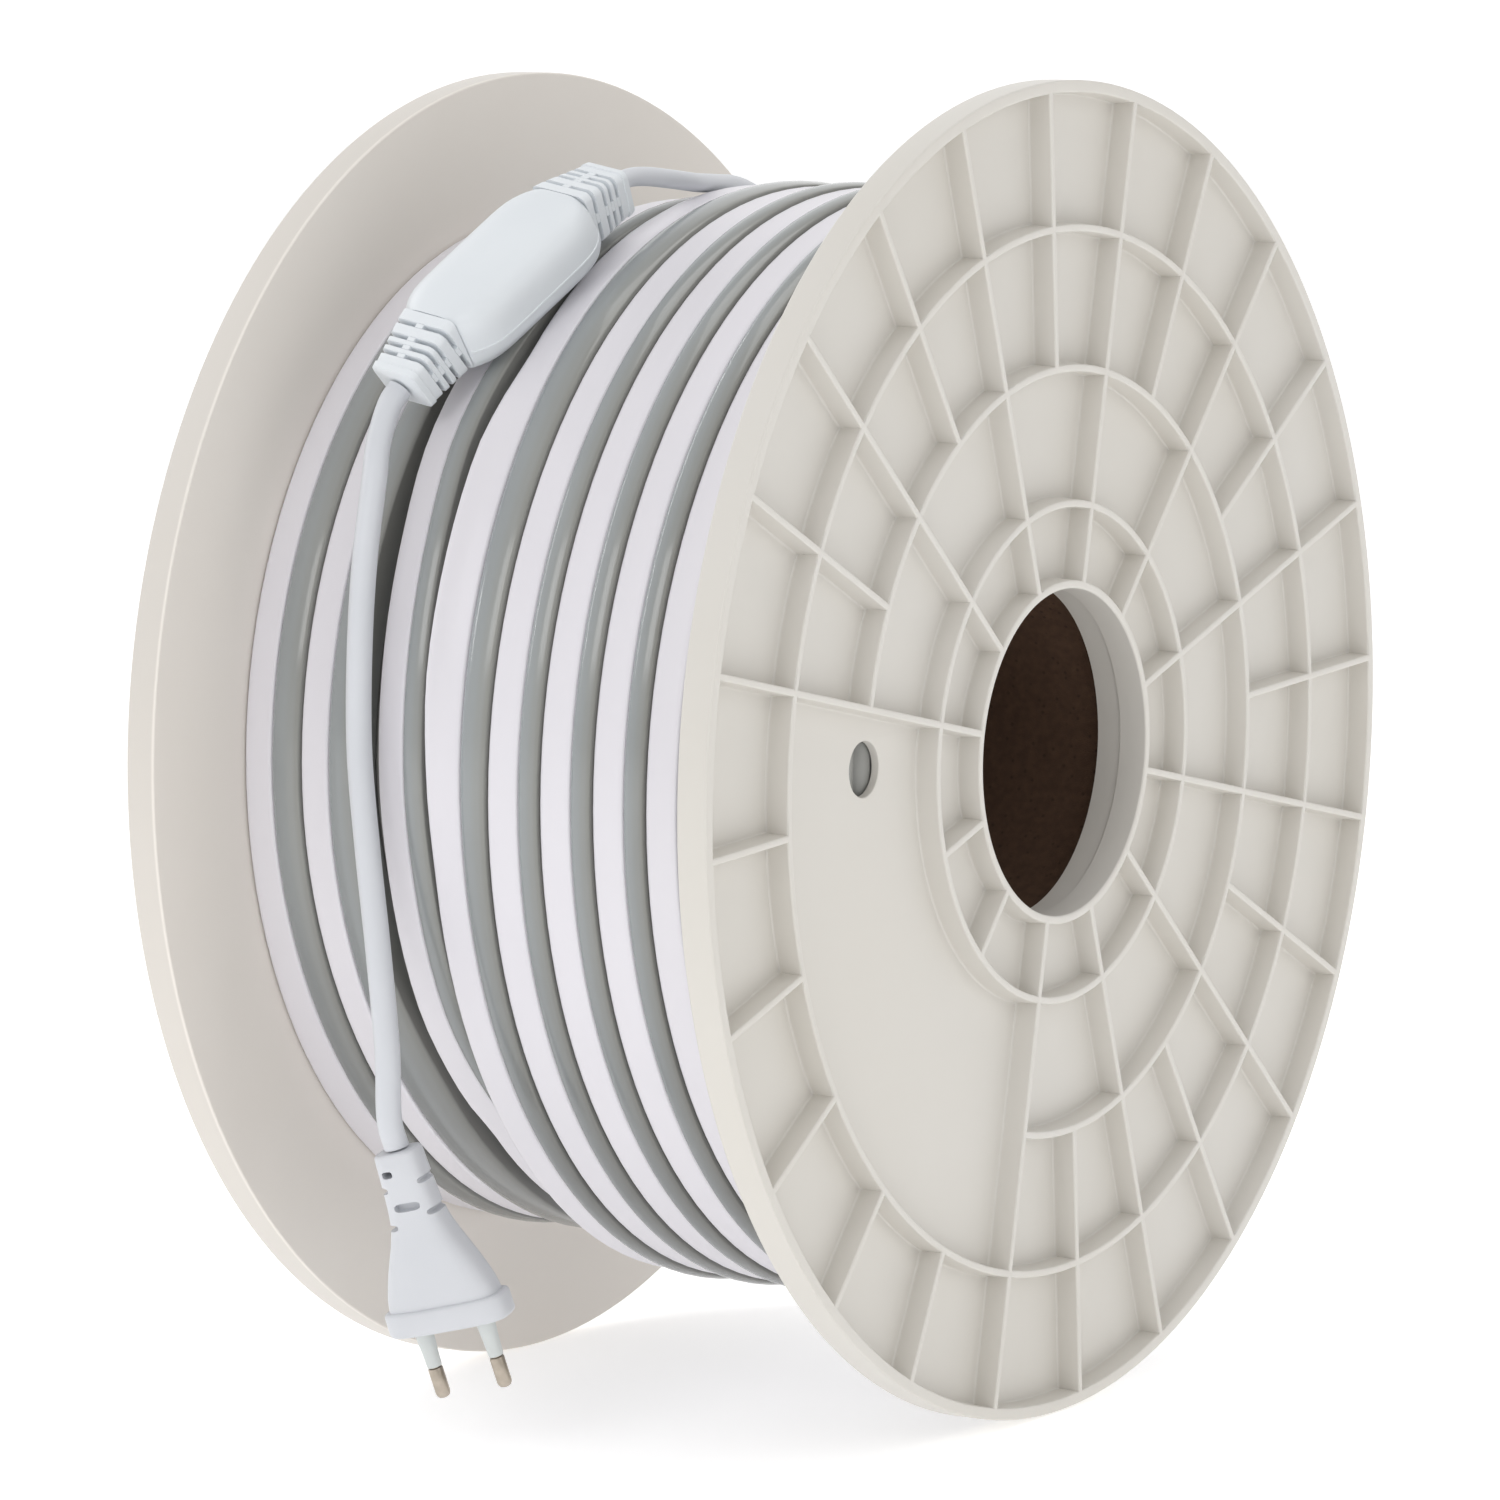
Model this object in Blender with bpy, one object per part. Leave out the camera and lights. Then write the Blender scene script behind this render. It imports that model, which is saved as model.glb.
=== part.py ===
"""Led strip light wound on a two-flange plastic reel, with its rectifier, supply cord and flat plug.

The reel's axis is X and the ribbed face of the near flange looks to +X.
The cord and the plug hang in front of the winding, on the -Y side.
The origin is on the floor under the middle of the reel. Units are metres, +Z is up.
"""
from math import asin, atan2, ceil, cos, degrees, pi, radians, sin, tan

import bmesh
import bpy
from mathutils import Matrix, Vector

# Clearance between pieces that touch
SEAT_GAP = 0.0003

# Reel
REEL_RADIUS = 0.180
REEL_WIDTH = 0.1794
FLANGE_THICKNESS = 0.0088
FLANGE_WEB = 0.0022
RIM_WALL = 0.0033
RING_WALL = 0.0020
RIB_WALL = 0.0019
OUTER_RING_RADIUS = 0.1407
MIDDLE_RING_RADIUS = 0.1033
INNER_RING_RADIUS = 0.067
BORE_RADIUS = 0.0441
COLLAR_WALL = 0.0023
SPIGOT_WALL = 0.0041
SPIGOT_LENGTH = 0.007
CORE_WALL = 0.005
PEG_HOLE_RADIUS = 0.0073
PEG_HOLE_PLACE = 0.094
PEG_HOLE_ANGLE = 178.0

# Pattern of the flange's ribs, in degrees from +Y towards +Z
FINE_RIB_PITCH = 15
FINE_RIB_START = 4
COARSE_RIB_PITCH = 30
COARSE_RIB_START = -11
PLAIN_SECTOR_START = 169
PLAIN_SECTOR_SPAN = 90

# Strip and its winding
STRIP_WIDTH = 0.016
JACKET_WIDTH = 0.0096
DOME_RISE = 0.0014
TURN_PITCH = 0.0162
LAYER_HEIGHT = 0.0096
FULL_LAYERS = 9
TURN_GROOVE = 0.0016
TURN_EDGE = 0.0008
END_GROOVE = 0.0008
LOWER_TURN_EDGE = -0.0625
LAST_TURN_FRONT_EDGE = -0.0288
STRIP_END_ANGLE = 121.0

# Course of the last turns of the strip. Each row has the travel in degrees from the front,
# how far the edge lies from the even spiral, how far the turn sinks below its layer
# and how far its left edge is raised.
STRIP_COURSE = [(-239, 0.0, 0.0, 0.0), (-190, 0.0, 0.0, 0.0), (-140, 0.0, 0.0096, 0.0),
                (-47, 0.0, 0.0096, 0.0), (-41, -0.0003, 0.0078, 0.0), (-34, -0.0007, 0.0054, -0.0006),
                (-26, -0.0011, 0.0028, -0.0012), (-12, -0.0020, 0.0010, -0.0018),
                (0, -0.0035, 0.0, -0.0022), (24, -0.0064, 0.0, -0.0022), (36, -0.0083, 0.0, -0.0020),
                (58, -0.0052, 0.0, -0.0010), (72, -0.0028, 0.0004, -0.0004), (80, -0.0015, 0.0020, 0.0),
                (88, -0.0007, 0.0038, 0.0), (96, 0.0, 0.0047, 0.0), (130, 0.0, 0.0045, 0.0),
                (170, 0.0, 0.0, 0.0), (300, 0.0, 0.0, 0.0), (348, -0.0012, 0.0, 0.0),
                (360, -0.0019, 0.0, 0.0020), (372, -0.0024, 0.0, 0.0045), (392, -0.0032, 0.0, 0.0045),
                (400, -0.0037, 0.0, 0.0020), (406, -0.0040, 0.0, 0.0), (420, -0.0046, 0.0, 0.0),
                (450, -0.0030, 0.0, 0.0), (481, 0.0, 0.0, 0.0)]

# Slot beside the last turn: travel, the slot's left edge and its depth as a share of a layer
SLOT_COURSE = [(-239, -0.0445, 0.0), (-100, -0.0445, 0.0), (-60, -0.0350, 0.0), (-40, -0.0360, 0.1),
               (-20, -0.0415, 0.7), (0, -0.0445, 1.0), (65, -0.0445, 1.0), (85, -0.0445, 0.0),
               (121, -0.0445, 0.0)]

# Rectifier on the winding
RECTIFIER_LENGTH = 0.0525
RECTIFIER_WIDTH = 0.033
RECTIFIER_THICKNESS = 0.019
RECTIFIER_ANGLE = 52.2
RECTIFIER_PLACE = -0.0268
RECTIFIER_YAW = 14.5
RELIEF_LENGTH = 0.0170
RELIEF_BASE = (0.0200, 0.0160)
RELIEF_END = (0.0160, 0.0130)
RELIEF_BEND = 11.4
RELIEF_SLOTS = 4
RELIEF_SLOT_DEPTH = 0.0030
RELIEF_SLOT_WIDTH = 0.0013

# Connector on the strip's end
CONNECTOR_LENGTH = 0.026
CONNECTOR_WIDTH = 0.0155
CONNECTOR_HEIGHT = 0.0135

# Cords
SUPPLY_CORD_DIAMETER = 0.0067
OUTPUT_LEAD_DIAMETER = 0.0052

# Plug
PLUG_WIDTH = 0.0353
PLUG_DEPTH = 0.0137
PLUG_BASE_HEIGHT = 0.0068
PLUG_LENGTH = 0.049
PLUG_FACE = (-0.0090, -0.1460, -0.1437)
PLUG_LEAN = 12.5
PLUG_TILT = 13.0
PLUG_TURN = 7.0
PIN_SPACING = 0.0186
PIN_RADIUS = 0.0020
PIN_LENGTH = 0.019
PIN_SLEEVE_LENGTH = 0.010
PIN_CORE_RADIUS = 0.0013
SLEEVE_FLARE = 0.0006

# Facets of round pieces
RIM_FACETS = 72
TUBE_FACETS = 48
WINDING_FACETS = 40
ROUTE_STEP = 0.011

# Sizes that follow from the ones above
REEL_HALF = REEL_WIDTH / 2
INNER_FACE = REEL_HALF - FLANGE_THICKNESS
WEB_FACE = INNER_FACE + FLANGE_WEB
SPIGOT_RADIUS = BORE_RADIUS + SPIGOT_WALL
CORE_BORE_RADIUS = SPIGOT_RADIUS + SEAT_GAP
CORE_RADIUS = CORE_BORE_RADIUS + CORE_WALL
WINDING_BORE_RADIUS = CORE_RADIUS + 2 * SEAT_GAP
WINDING_HALF = INNER_FACE - SEAT_GAP
LOWER_RADIUS = WINDING_BORE_RADIUS + FULL_LAYERS * LAYER_HEIGHT
UPPER_RADIUS = LOWER_RADIUS + LAYER_HEIGHT
PLAIN_SECTOR_END = PLAIN_SECTOR_START + PLAIN_SECTOR_SPAN
REEL_CENTRE = Vector((0, 0, REEL_RADIUS))


def clear_scene():
    for thing in list(bpy.data.objects):
        bpy.data.objects.remove(thing, do_unlink=True)


def material(name, colour, roughness, metallic=0.0):
    made = bpy.data.materials.new(name)
    made.use_nodes = True
    shader = made.node_tree.nodes["Principled BSDF"]
    shader.inputs["Base Color"].default_value = (*colour, 1.0)
    shader.inputs["Roughness"].default_value = roughness
    shader.inputs["Metallic"].default_value = metallic
    return made


def add_object(name, mesh, finish, matrix=None, smooth=30.0):
    mesh.materials.append(finish)
    mesh.shade_smooth()
    mesh.set_sharp_from_angle(angle=radians(smooth))
    thing = bpy.data.objects.new(name, mesh)
    bpy.context.collection.objects.link(thing)
    thing.matrix_world = matrix or Matrix.Translation(REEL_CENTRE)
    return thing


def finish_mesh(bm, name):
    bmesh.ops.recalc_face_normals(bm, faces=bm.faces[:])
    mesh = bpy.data.meshes.new(name)
    bm.to_mesh(mesh)
    bm.free()
    return mesh


def polar(radius, angle):
    return radius * cos(radians(angle)), radius * sin(radians(angle))


def circle(radius, facets, flat_down=False):
    """Corners of a round outline; flat_down turns it so that its sides, not its corners, are at radius."""
    if flat_down:
        reach = radius / cos(pi / facets)
        return [polar(reach, (step + 0.5) * 360 / facets) for step in range(facets)]
    return [polar(radius, step * 360 / facets) for step in range(facets)]


def loop_at(bm, x, outline):
    return [bm.verts.new((x, y, z)) for y, z in outline]


def join_loops(bm, first, second):
    count = len(first)
    for i in range(count):
        j = (i + 1) % count
        bm.faces.new((first[i], first[j], second[j], second[i]))


def fill_between(bm, loops):
    """Flat face bounded by the first loop, with the other loops as its holes."""
    edges = []
    for loop in loops:
        for i, vertex in enumerate(loop):
            pair = (vertex, loop[(i + 1) % len(loop)])
            edges.append(bm.edges.get(pair) or bm.edges.new(pair))
    bmesh.ops.triangle_fill(bm, use_beauty=True, use_dissolve=False, edges=edges)


# Flanges
def pocket_outline(inner, outer, start, end, arc_step):
    """Outline of the pocket between two rings and the two ribs at start and end degrees."""
    half_rib = RIB_WALL / 2
    points = []
    for radius, direction in ((inner, 1), (outer, -1)):
        inset = degrees(asin(half_rib / radius))
        first, last = start + inset, end - inset
        steps = max(1, ceil((last - first) / arc_step))
        arc = [polar(radius, first + (last - first) * k / steps) for k in range(steps + 1)]
        points += arc[::direction]
    return points


def pocket_outlines():
    ring = RING_WALL / 2
    outer_wall = REEL_RADIUS - RIM_WALL
    collar = BORE_RADIUS + COLLAR_WALL
    outlines = []
    for k in range(360 // FINE_RIB_PITCH):
        start = FINE_RIB_START + k * FINE_RIB_PITCH
        end = start + FINE_RIB_PITCH
        outlines.append(pocket_outline(OUTER_RING_RADIUS + ring, outer_wall, start, end, 7.5))
    ribbed = 360 - PLAIN_SECTOR_SPAN
    for k in range(ribbed // FINE_RIB_PITCH):
        start = PLAIN_SECTOR_END + k * FINE_RIB_PITCH
        end = start + FINE_RIB_PITCH
        outlines.append(pocket_outline(MIDDLE_RING_RADIUS + ring, OUTER_RING_RADIUS - ring, start, end, 7.5))
    for k in range(ribbed // COARSE_RIB_PITCH):
        start = PLAIN_SECTOR_END + k * COARSE_RIB_PITCH
        end = start + COARSE_RIB_PITCH
        outlines.append(pocket_outline(INNER_RING_RADIUS + ring, MIDDLE_RING_RADIUS - ring, start, end, 10))
    for k in range(360 // COARSE_RIB_PITCH):
        start = COARSE_RIB_START + k * COARSE_RIB_PITCH
        end = start + COARSE_RIB_PITCH
        outlines.append(pocket_outline(collar, INNER_RING_RADIUS - ring, start, end, 10))
    return outlines


def plain_sector_outline():
    ring = RING_WALL / 2
    return pocket_outline(INNER_RING_RADIUS + ring, OUTER_RING_RADIUS - ring,
                          PLAIN_SECTOR_START, PLAIN_SECTOR_END, 7.5)


def peg_hole_outline():
    centre = polar(PEG_HOLE_PLACE, PEG_HOLE_ANGLE)
    return [(centre[0] + y, centre[1] + z) for y, z in circle(PEG_HOLE_RADIUS, 16)]


def flange_mesh():
    bm = bmesh.new()
    rim = circle(REEL_RADIUS, RIM_FACETS, flat_down=True)
    bore = circle(BORE_RADIUS, TUBE_FACETS)
    spigot = circle(SPIGOT_RADIUS, TUBE_FACETS)
    rim_out = loop_at(bm, REEL_HALF, rim)
    rim_in = loop_at(bm, INNER_FACE, rim)
    bore_out = loop_at(bm, REEL_HALF, bore)
    bore_in = loop_at(bm, INNER_FACE - SPIGOT_LENGTH, bore)
    spigot_root = loop_at(bm, INNER_FACE, spigot)
    spigot_end = loop_at(bm, INNER_FACE - SPIGOT_LENGTH, spigot)
    join_loops(bm, rim_out, rim_in)
    join_loops(bm, bore_out, bore_in)
    join_loops(bm, bore_in, spigot_end)
    join_loops(bm, spigot_end, spigot_root)
    mouths = []
    for outline in pocket_outlines():
        mouth = loop_at(bm, REEL_HALF, outline)
        floor = loop_at(bm, WEB_FACE, outline)
        join_loops(bm, mouth, floor)
        bm.faces.new(floor)
        mouths.append(mouth)
    mouth = loop_at(bm, REEL_HALF, plain_sector_outline())
    floor = loop_at(bm, WEB_FACE, plain_sector_outline())
    hole_out = loop_at(bm, WEB_FACE, peg_hole_outline())
    hole_in = loop_at(bm, INNER_FACE, peg_hole_outline())
    join_loops(bm, mouth, floor)
    join_loops(bm, hole_out, hole_in)
    fill_between(bm, [floor, hole_out])
    mouths.append(mouth)
    fill_between(bm, [rim_out, bore_out] + mouths)
    fill_between(bm, [rim_in, spigot_root, hole_in])
    return finish_mesh(bm, "flange")


def make_flanges():
    for name, turn in (("flange_near", 0.0), ("flange_far", pi)):
        mesh = flange_mesh()
        mesh.name = name
        plastic = material("reel_plastic", (0.78, 0.75, 0.68), 0.45)
        add_object(name, mesh, plastic, Matrix.Translation(REEL_CENTRE) @ Matrix.Rotation(turn, 4, "Z"))


# Core tube
def make_core():
    bm = bmesh.new()
    outer = circle(CORE_RADIUS, TUBE_FACETS)
    inner = circle(CORE_BORE_RADIUS, TUBE_FACETS)
    loops = [loop_at(bm, side * WINDING_HALF, outline) for side, outline in
             ((-1, inner), (-1, outer), (1, outer), (1, inner))]
    for i, loop in enumerate(loops):
        join_loops(bm, loop, loops[(i + 1) % len(loops)])
    add_object("core_tube", finish_mesh(bm, "core_tube"), material("cardboard", (0.20, 0.13, 0.08), 0.9))


# Winding
def end_profile(side, layers):
    """Points up one end of the winding, where each layer's edge bulges and a groove parts the layers."""
    points = [(side * WINDING_HALF, WINDING_BORE_RADIUS)]
    for layer in range(layers):
        foot = WINDING_BORE_RADIUS + layer * LAYER_HEIGHT
        if layer:
            points.append((side * (WINDING_HALF - END_GROOVE), foot))
        points.append((side * WINDING_HALF, foot + LAYER_HEIGHT / 2))
    return points


def course_at(course, travel):
    """Values of a course between its two rows on either side of travel."""
    for row, following in zip(course, course[1:]):
        if row[0] <= travel <= following[0]:
            share = (travel - row[0]) / (following[0] - row[0])
            return [a + (b - a) * share for a, b in zip(row[1:], following[1:])]
    return [0.0] * (len(course[0]) - 1)


def turn_edge(travel):
    """Left edge of the strip, after travel degrees from the last turn's front, more towards the inside."""
    return LAST_TURN_FRONT_EDGE + TURN_PITCH * travel / 360 + course_at(STRIP_COURSE, travel)[0]


def strip_top(left, right, radius, raised):
    """Points over the strip from its flat jacket to the far side of its domed face."""
    dome = left + JACKET_WIDTH
    tip = min(left + STRIP_WIDTH, right) - TURN_EDGE
    return [(left + TURN_EDGE, radius + raised), (dome, radius), (dome + (tip - dome) * 0.3, radius + DOME_RISE * 0.6),
            (dome + (tip - dome) * 0.6, radius + DOME_RISE), (tip, radius + DOME_RISE * 0.4)]


def lower_profile(travel):
    """Points across the lower layer's turns and the slot, up to where the strip's end can lie."""
    slot_left, depth = course_at(SLOT_COURSE, travel)
    slot_right = turn_edge(STRIP_END_ANGLE - 360)
    if travel < STRIP_END_ANGLE:
        share = max(0.0, (travel - 60) / (STRIP_END_ANGLE - 60))
        slot_right = slot_right * share + (turn_edge(travel) - TURN_EDGE) * (1 - share)
    floor = LOWER_RADIUS - TURN_GROOVE - (LAYER_HEIGHT - TURN_GROOVE) * depth
    points = strip_top(-WINDING_HALF, LOWER_TURN_EDGE, LOWER_RADIUS, 0.0)
    points.append((LOWER_TURN_EDGE, LOWER_RADIUS - TURN_GROOVE))
    points += strip_top(LOWER_TURN_EDGE, slot_left, LOWER_RADIUS, 0.0)
    points += [(slot_left, floor), (slot_right, floor), (slot_right, LOWER_RADIUS)]
    return points


def turn_profile(travel, k):
    """Points of one turn of the upper layer; its foot is on what lies beside it."""
    place = travel + 360 * k
    sunk, raised = course_at(STRIP_COURSE, place)[1:]
    left, right = turn_edge(place), turn_edge(place + 360)
    if k == 0:
        foot = min(LOWER_RADIUS, UPPER_RADIUS - sunk - TURN_GROOVE)
    else:
        foot = UPPER_RADIUS - TURN_GROOVE - course_at(STRIP_COURSE, place - 360)[1]
    return [(left, foot)] + strip_top(left, right, UPPER_RADIUS - sunk, raised)


def winding_column(bm, travel, first_column):
    """Corners of the winding's section at one angle, as a fixed part and a list of turns.

    Points past the end of the winding share its corner. At the strip's end the section
    takes the corners of the first column, one turn further on.
    """
    c, s = -cos(radians(travel)), sin(radians(travel))
    if first_column is None:
        left_end = end_profile(-1, FULL_LAYERS)
        right_end = end_profile(1, FULL_LAYERS + 1)[::-1]
        fixed = [bm.verts.new((x, r * c, r * s)) for x, r in left_end + lower_profile(travel)]
        right = [bm.verts.new((x, r * c, r * s)) for x, r in
                 [(WINDING_HALF, UPPER_RADIUS - TURN_EDGE / 4)] + right_end]
    else:
        fixed, right = first_column["fixed"], first_column["right"]
    turns = []
    turn_count = ceil((WINDING_HALF - turn_edge(STRIP_END_ANGLE - 360)) / TURN_PITCH)
    for k in range(turn_count):
        if first_column is not None and k > 1:
            turns.append(first_column["turns"][k - 1])
            continue
        turn = []
        for x, r in turn_profile(travel, k):
            turn.append(bm.verts.new((x, r * c, r * s)) if x < WINDING_HALF - TURN_EDGE / 2 else right[0])
        if first_column is not None and k == 0:
            bm.verts.remove(turn[0])
            turn[0] = fixed[-1]
        if first_column is not None and k == 1:
            for spare in turn[1:]:
                bm.verts.remove(spare)
            turn[1:] = first_column["turns"][0][1:]
        turns.append(turn)
    return {"fixed": fixed, "turns": turns, "right": right}


def column_corners(column):
    return column["fixed"] + [corner for turn in column["turns"] for corner in turn] + column["right"]


def join_columns(bm, first, second):
    one, other = column_corners(first), column_corners(second)
    for i in range(len(one)):
        j = (i + 1) % len(one)
        corners = []
        for corner in (one[i], one[j], other[j], other[i]):
            if corner not in corners:
                corners.append(corner)
        if len(corners) > 2:
            bm.faces.new(corners)


def make_winding():
    bm = bmesh.new()
    columns = []
    for k in range(WINDING_FACETS):
        columns.append(winding_column(bm, STRIP_END_ANGLE - 360 * k / WINDING_FACETS, None))
    columns.append(winding_column(bm, STRIP_END_ANGLE - 360, columns[0]))
    for first, second in zip(columns, columns[1:]):
        join_columns(bm, first, second)
    tail = columns[-1]["turns"]
    bm.faces.new(tail[0] + [tail[1][0], tail[1][1], columns[0]["turns"][0][0]])
    add_object("strip_winding", finish_mesh(bm, "strip_winding"), material("strip", (0.80, 0.79, 0.82), 0.4))


# Lofted pieces
def rounded_outline(width, depth, facets=20, squareness=3.5):
    """Corners of a rounded rectangle; a greater squareness makes its corners tighter."""
    points = []
    for k in range(facets):
        angle = 2 * pi * (k + 0.5) / facets
        c, s = cos(angle), sin(angle)
        reach = (abs(c) ** squareness + abs(s) ** squareness) ** (-1 / squareness)
        points.append((width / 2 * reach * c, depth / 2 * reach * s))
    return points


def chamfered_outline(width, depth, chamfer):
    x, y = width / 2, depth / 2
    corners = [(x, y - chamfer), (x - chamfer, y), (chamfer - x, y), (-x, y - chamfer)]
    return corners + [(-a, -b) for a, b in corners]


def loft_mesh(name, stations):
    """Closed skin through outlines, each given with its height along Z."""
    bm = bmesh.new()
    loops = [[bm.verts.new((x, y, height)) for x, y in outline] for height, outline in stations]
    for lower, upper in zip(loops, loops[1:]):
        join_loops(bm, lower, upper)
    bm.faces.new(loops[0])
    bm.faces.new(loops[-1])
    return finish_mesh(bm, name)


def placed(origin, side, up):
    """Matrix of a local frame with its X along side, its Z along up, at origin."""
    z = up.normalized()
    y = z.cross(side).normalized()
    x = y.cross(z)
    turn = Matrix((x, y, z)).transposed().to_4x4()
    return Matrix.Translation(origin) @ turn


# Rectifier
def rectifier_frame():
    angle, yaw = radians(RECTIFIER_ANGLE), radians(RECTIFIER_YAW)
    outward = Vector((0, -cos(angle), sin(angle)))
    along = Vector((sin(yaw), cos(yaw) * sin(angle), cos(yaw) * cos(angle)))
    middle = REEL_CENTRE + Vector((RECTIFIER_PLACE, 0, 0))
    middle += outward * (UPPER_RADIUS + DOME_RISE + SEAT_GAP + RECTIFIER_THICKNESS / 2)
    return middle, outward, along


def relief_frame(end):
    """Base and direction of a strain relief, at the rectifier's upper end (1) or lower end (-1)."""
    middle, outward, along = rectifier_frame()
    bend = radians(RELIEF_BEND)
    direction = along * end * cos(bend) - outward * sin(bend)
    base = middle + along * end * (RECTIFIER_LENGTH / 2 + SEAT_GAP)
    return base, direction.normalized(), along.cross(outward)


def relief_stations(length, base, end, slots, depth, slot_width):
    """Outlines of a tapered strain relief that narrows at each of its slots."""
    cuts = [(0.0, 0.0)]
    pitch = length / (slots + 0.6)
    for k in range(slots):
        start = pitch * (k + 0.75)
        cuts += [(start, 0.0), (start, depth), (start + slot_width, depth), (start + slot_width, 0.0)]
    cuts.append((length, 0.0))
    stations = []
    for height, inset in cuts:
        share = height / length
        width = base[0] + (end[0] - base[0]) * share - 2 * inset
        thickness = base[1] + (end[1] - base[1]) * share - 2 * inset
        stations.append((height, chamfered_outline(width, thickness, 0.0015)))
    return stations


def relief_mesh(name, end):
    """Strain relief along Z whose base is slanted to lie flat on the rectifier's end."""
    mesh = loft_mesh(name, relief_stations(RELIEF_LENGTH, RELIEF_BASE, RELIEF_END, RELIEF_SLOTS,
                                           RELIEF_SLOT_DEPTH, RELIEF_SLOT_WIDTH))
    for vertex in mesh.vertices:
        if vertex.co.z == 0:
            vertex.co.z = end * vertex.co.y * tan(radians(RELIEF_BEND))
    return mesh


def make_rectifier():
    middle, outward, along = rectifier_frame()
    plastic = material("rectifier_plastic", (0.82, 0.84, 0.86), 0.4)
    neck = (RELIEF_BASE[0] + 0.001, RELIEF_BASE[1])
    stations = []
    for share, fullness in ((0.0, 0.0), (0.05, 0.25), (0.14, 0.72), (0.24, 0.96), (0.34, 1.0)):
        width = neck[0] + (RECTIFIER_WIDTH - neck[0]) * fullness
        thickness = neck[1] + (RECTIFIER_THICKNESS - neck[1]) * fullness
        stations.append(((share - 0.5) * RECTIFIER_LENGTH, rounded_outline(width, thickness)))
    stations += [(-height, outline) for height, outline in reversed(stations)]
    mesh = loft_mesh("rectifier_body", stations)
    add_object("rectifier_body", mesh, plastic, placed(middle, along.cross(outward), along))
    for name, end in (("relief_supply", -1), ("relief_output", 1)):
        base, direction, side = relief_frame(end)
        soft = material("relief_plastic", (0.82, 0.84, 0.86), 0.45)
        add_object(name, relief_mesh(name, end), soft, placed(base, side, direction))


# Connector on the strip's end
def connector_frame():
    half_turn = atan2(CONNECTOR_LENGTH / 2 + SEAT_GAP, LOWER_RADIUS + SEAT_GAP)
    angle = radians(STRIP_END_ANGLE) - half_turn
    outward = Vector((0, -cos(angle), sin(angle)))
    along = Vector((0, sin(angle), cos(angle)))
    left = turn_edge(STRIP_END_ANGLE - 360)
    reach = (LOWER_RADIUS + SEAT_GAP + CONNECTOR_HEIGHT / 2)
    middle = REEL_CENTRE + Vector((left + STRIP_WIDTH / 2 - SEAT_GAP, 0, 0)) + outward * reach
    return middle, outward, along


def make_connector():
    middle, outward, along = connector_frame()
    half = CONNECTOR_LENGTH / 2
    stations = [(-half, 0.86), (-half + 0.0012, 1.0), (half - 0.0012, 1.0), (half, 0.86)]
    stations = [(height, chamfered_outline(CONNECTOR_WIDTH * scale, CONNECTOR_HEIGHT * scale, 0.0018))
                for height, scale in stations]
    mesh = loft_mesh("strip_connector", stations)
    plastic = material("connector_plastic", (0.82, 0.84, 0.86), 0.4)
    add_object("strip_connector", mesh, plastic, placed(middle, along.cross(outward), along))


# Cords
SUPPLY_ROUTE = [(-0.0378, -0.1304, 0.0986), (-0.0388, -0.1337, 0.0944), (-0.0379, -0.1398, 0.0850),
                (-0.0359, -0.1445, 0.0758), (-0.0350, -0.1500, 0.0553), (-0.0341, -0.1535, 0.0322),
                (-0.0327, -0.1555, 0.0064), (-0.0290, -0.1570, -0.0192), (-0.0245, -0.1585, -0.0450),
                (-0.0210, -0.1593, -0.0710), (-0.0207, -0.1588, -0.0885), (-0.01945, -0.15715, -0.0964)]
OUTPUT_ROUTE = [(-0.0158, -0.0630, 0.1507), (-0.0145, -0.0577, 0.1529), (-0.0132, -0.0510, 0.1532),
                (-0.0124, -0.0430, 0.1526), (-0.0124, -0.0340, 0.1518), (-0.0137, -0.0250, 0.1511),
                (-0.0165, -0.0140, 0.1507), (-0.0203, -0.0030, 0.1503), (-0.0243, 0.0090, 0.1499),
                (-0.0278, 0.0200, 0.1488), (-0.0304, 0.0305, 0.1468), (-0.0316, 0.0408, 0.1440),
                (-0.0319, 0.0517, 0.1388)]


def smooth_route(points):
    """Points along a smooth curve through the route, about ROUTE_STEP apart."""
    points = [Vector(p) for p in points]
    ends = [points[0] * 2 - points[1]] + points + [points[-1] * 2 - points[-2]]
    route = []
    for a, b, c, d in zip(ends, ends[1:], ends[2:], ends[3:]):
        steps = max(1, round((c - b).length / ROUTE_STEP))
        for k in range(steps):
            t = k / steps
            route.append(0.5 * (2 * b + (c - a) * t + (2 * a - 5 * b + 4 * c - d) * t * t
                                + (3 * b - a - 3 * c + d) * t ** 3))
    return route + [points[-1]]


def make_cord(name, route, diameter, finish):
    points = smooth_route(route)
    curve = bpy.data.curves.new(name, "CURVE")
    curve.dimensions = "3D"
    spline = curve.splines.new("POLY")
    spline.points.add(len(points) - 1)
    for point, place in zip(spline.points, points):
        point.co = (*place, 1.0)
    curve.bevel_depth = diameter / 2
    curve.bevel_resolution = 2
    curve.use_fill_caps = True
    curve.materials.append(finish)
    cord = bpy.data.objects.new(name, curve)
    cord.location = REEL_CENTRE
    bpy.context.collection.objects.link(cord)


def make_cords():
    sheath = material("cord_sheath", (0.84, 0.86, 0.88), 0.4)
    make_cord("supply_cord", SUPPLY_ROUTE, SUPPLY_CORD_DIAMETER, sheath)
    make_cord("output_lead", OUTPUT_ROUTE, OUTPUT_LEAD_DIAMETER, sheath.copy())


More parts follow.
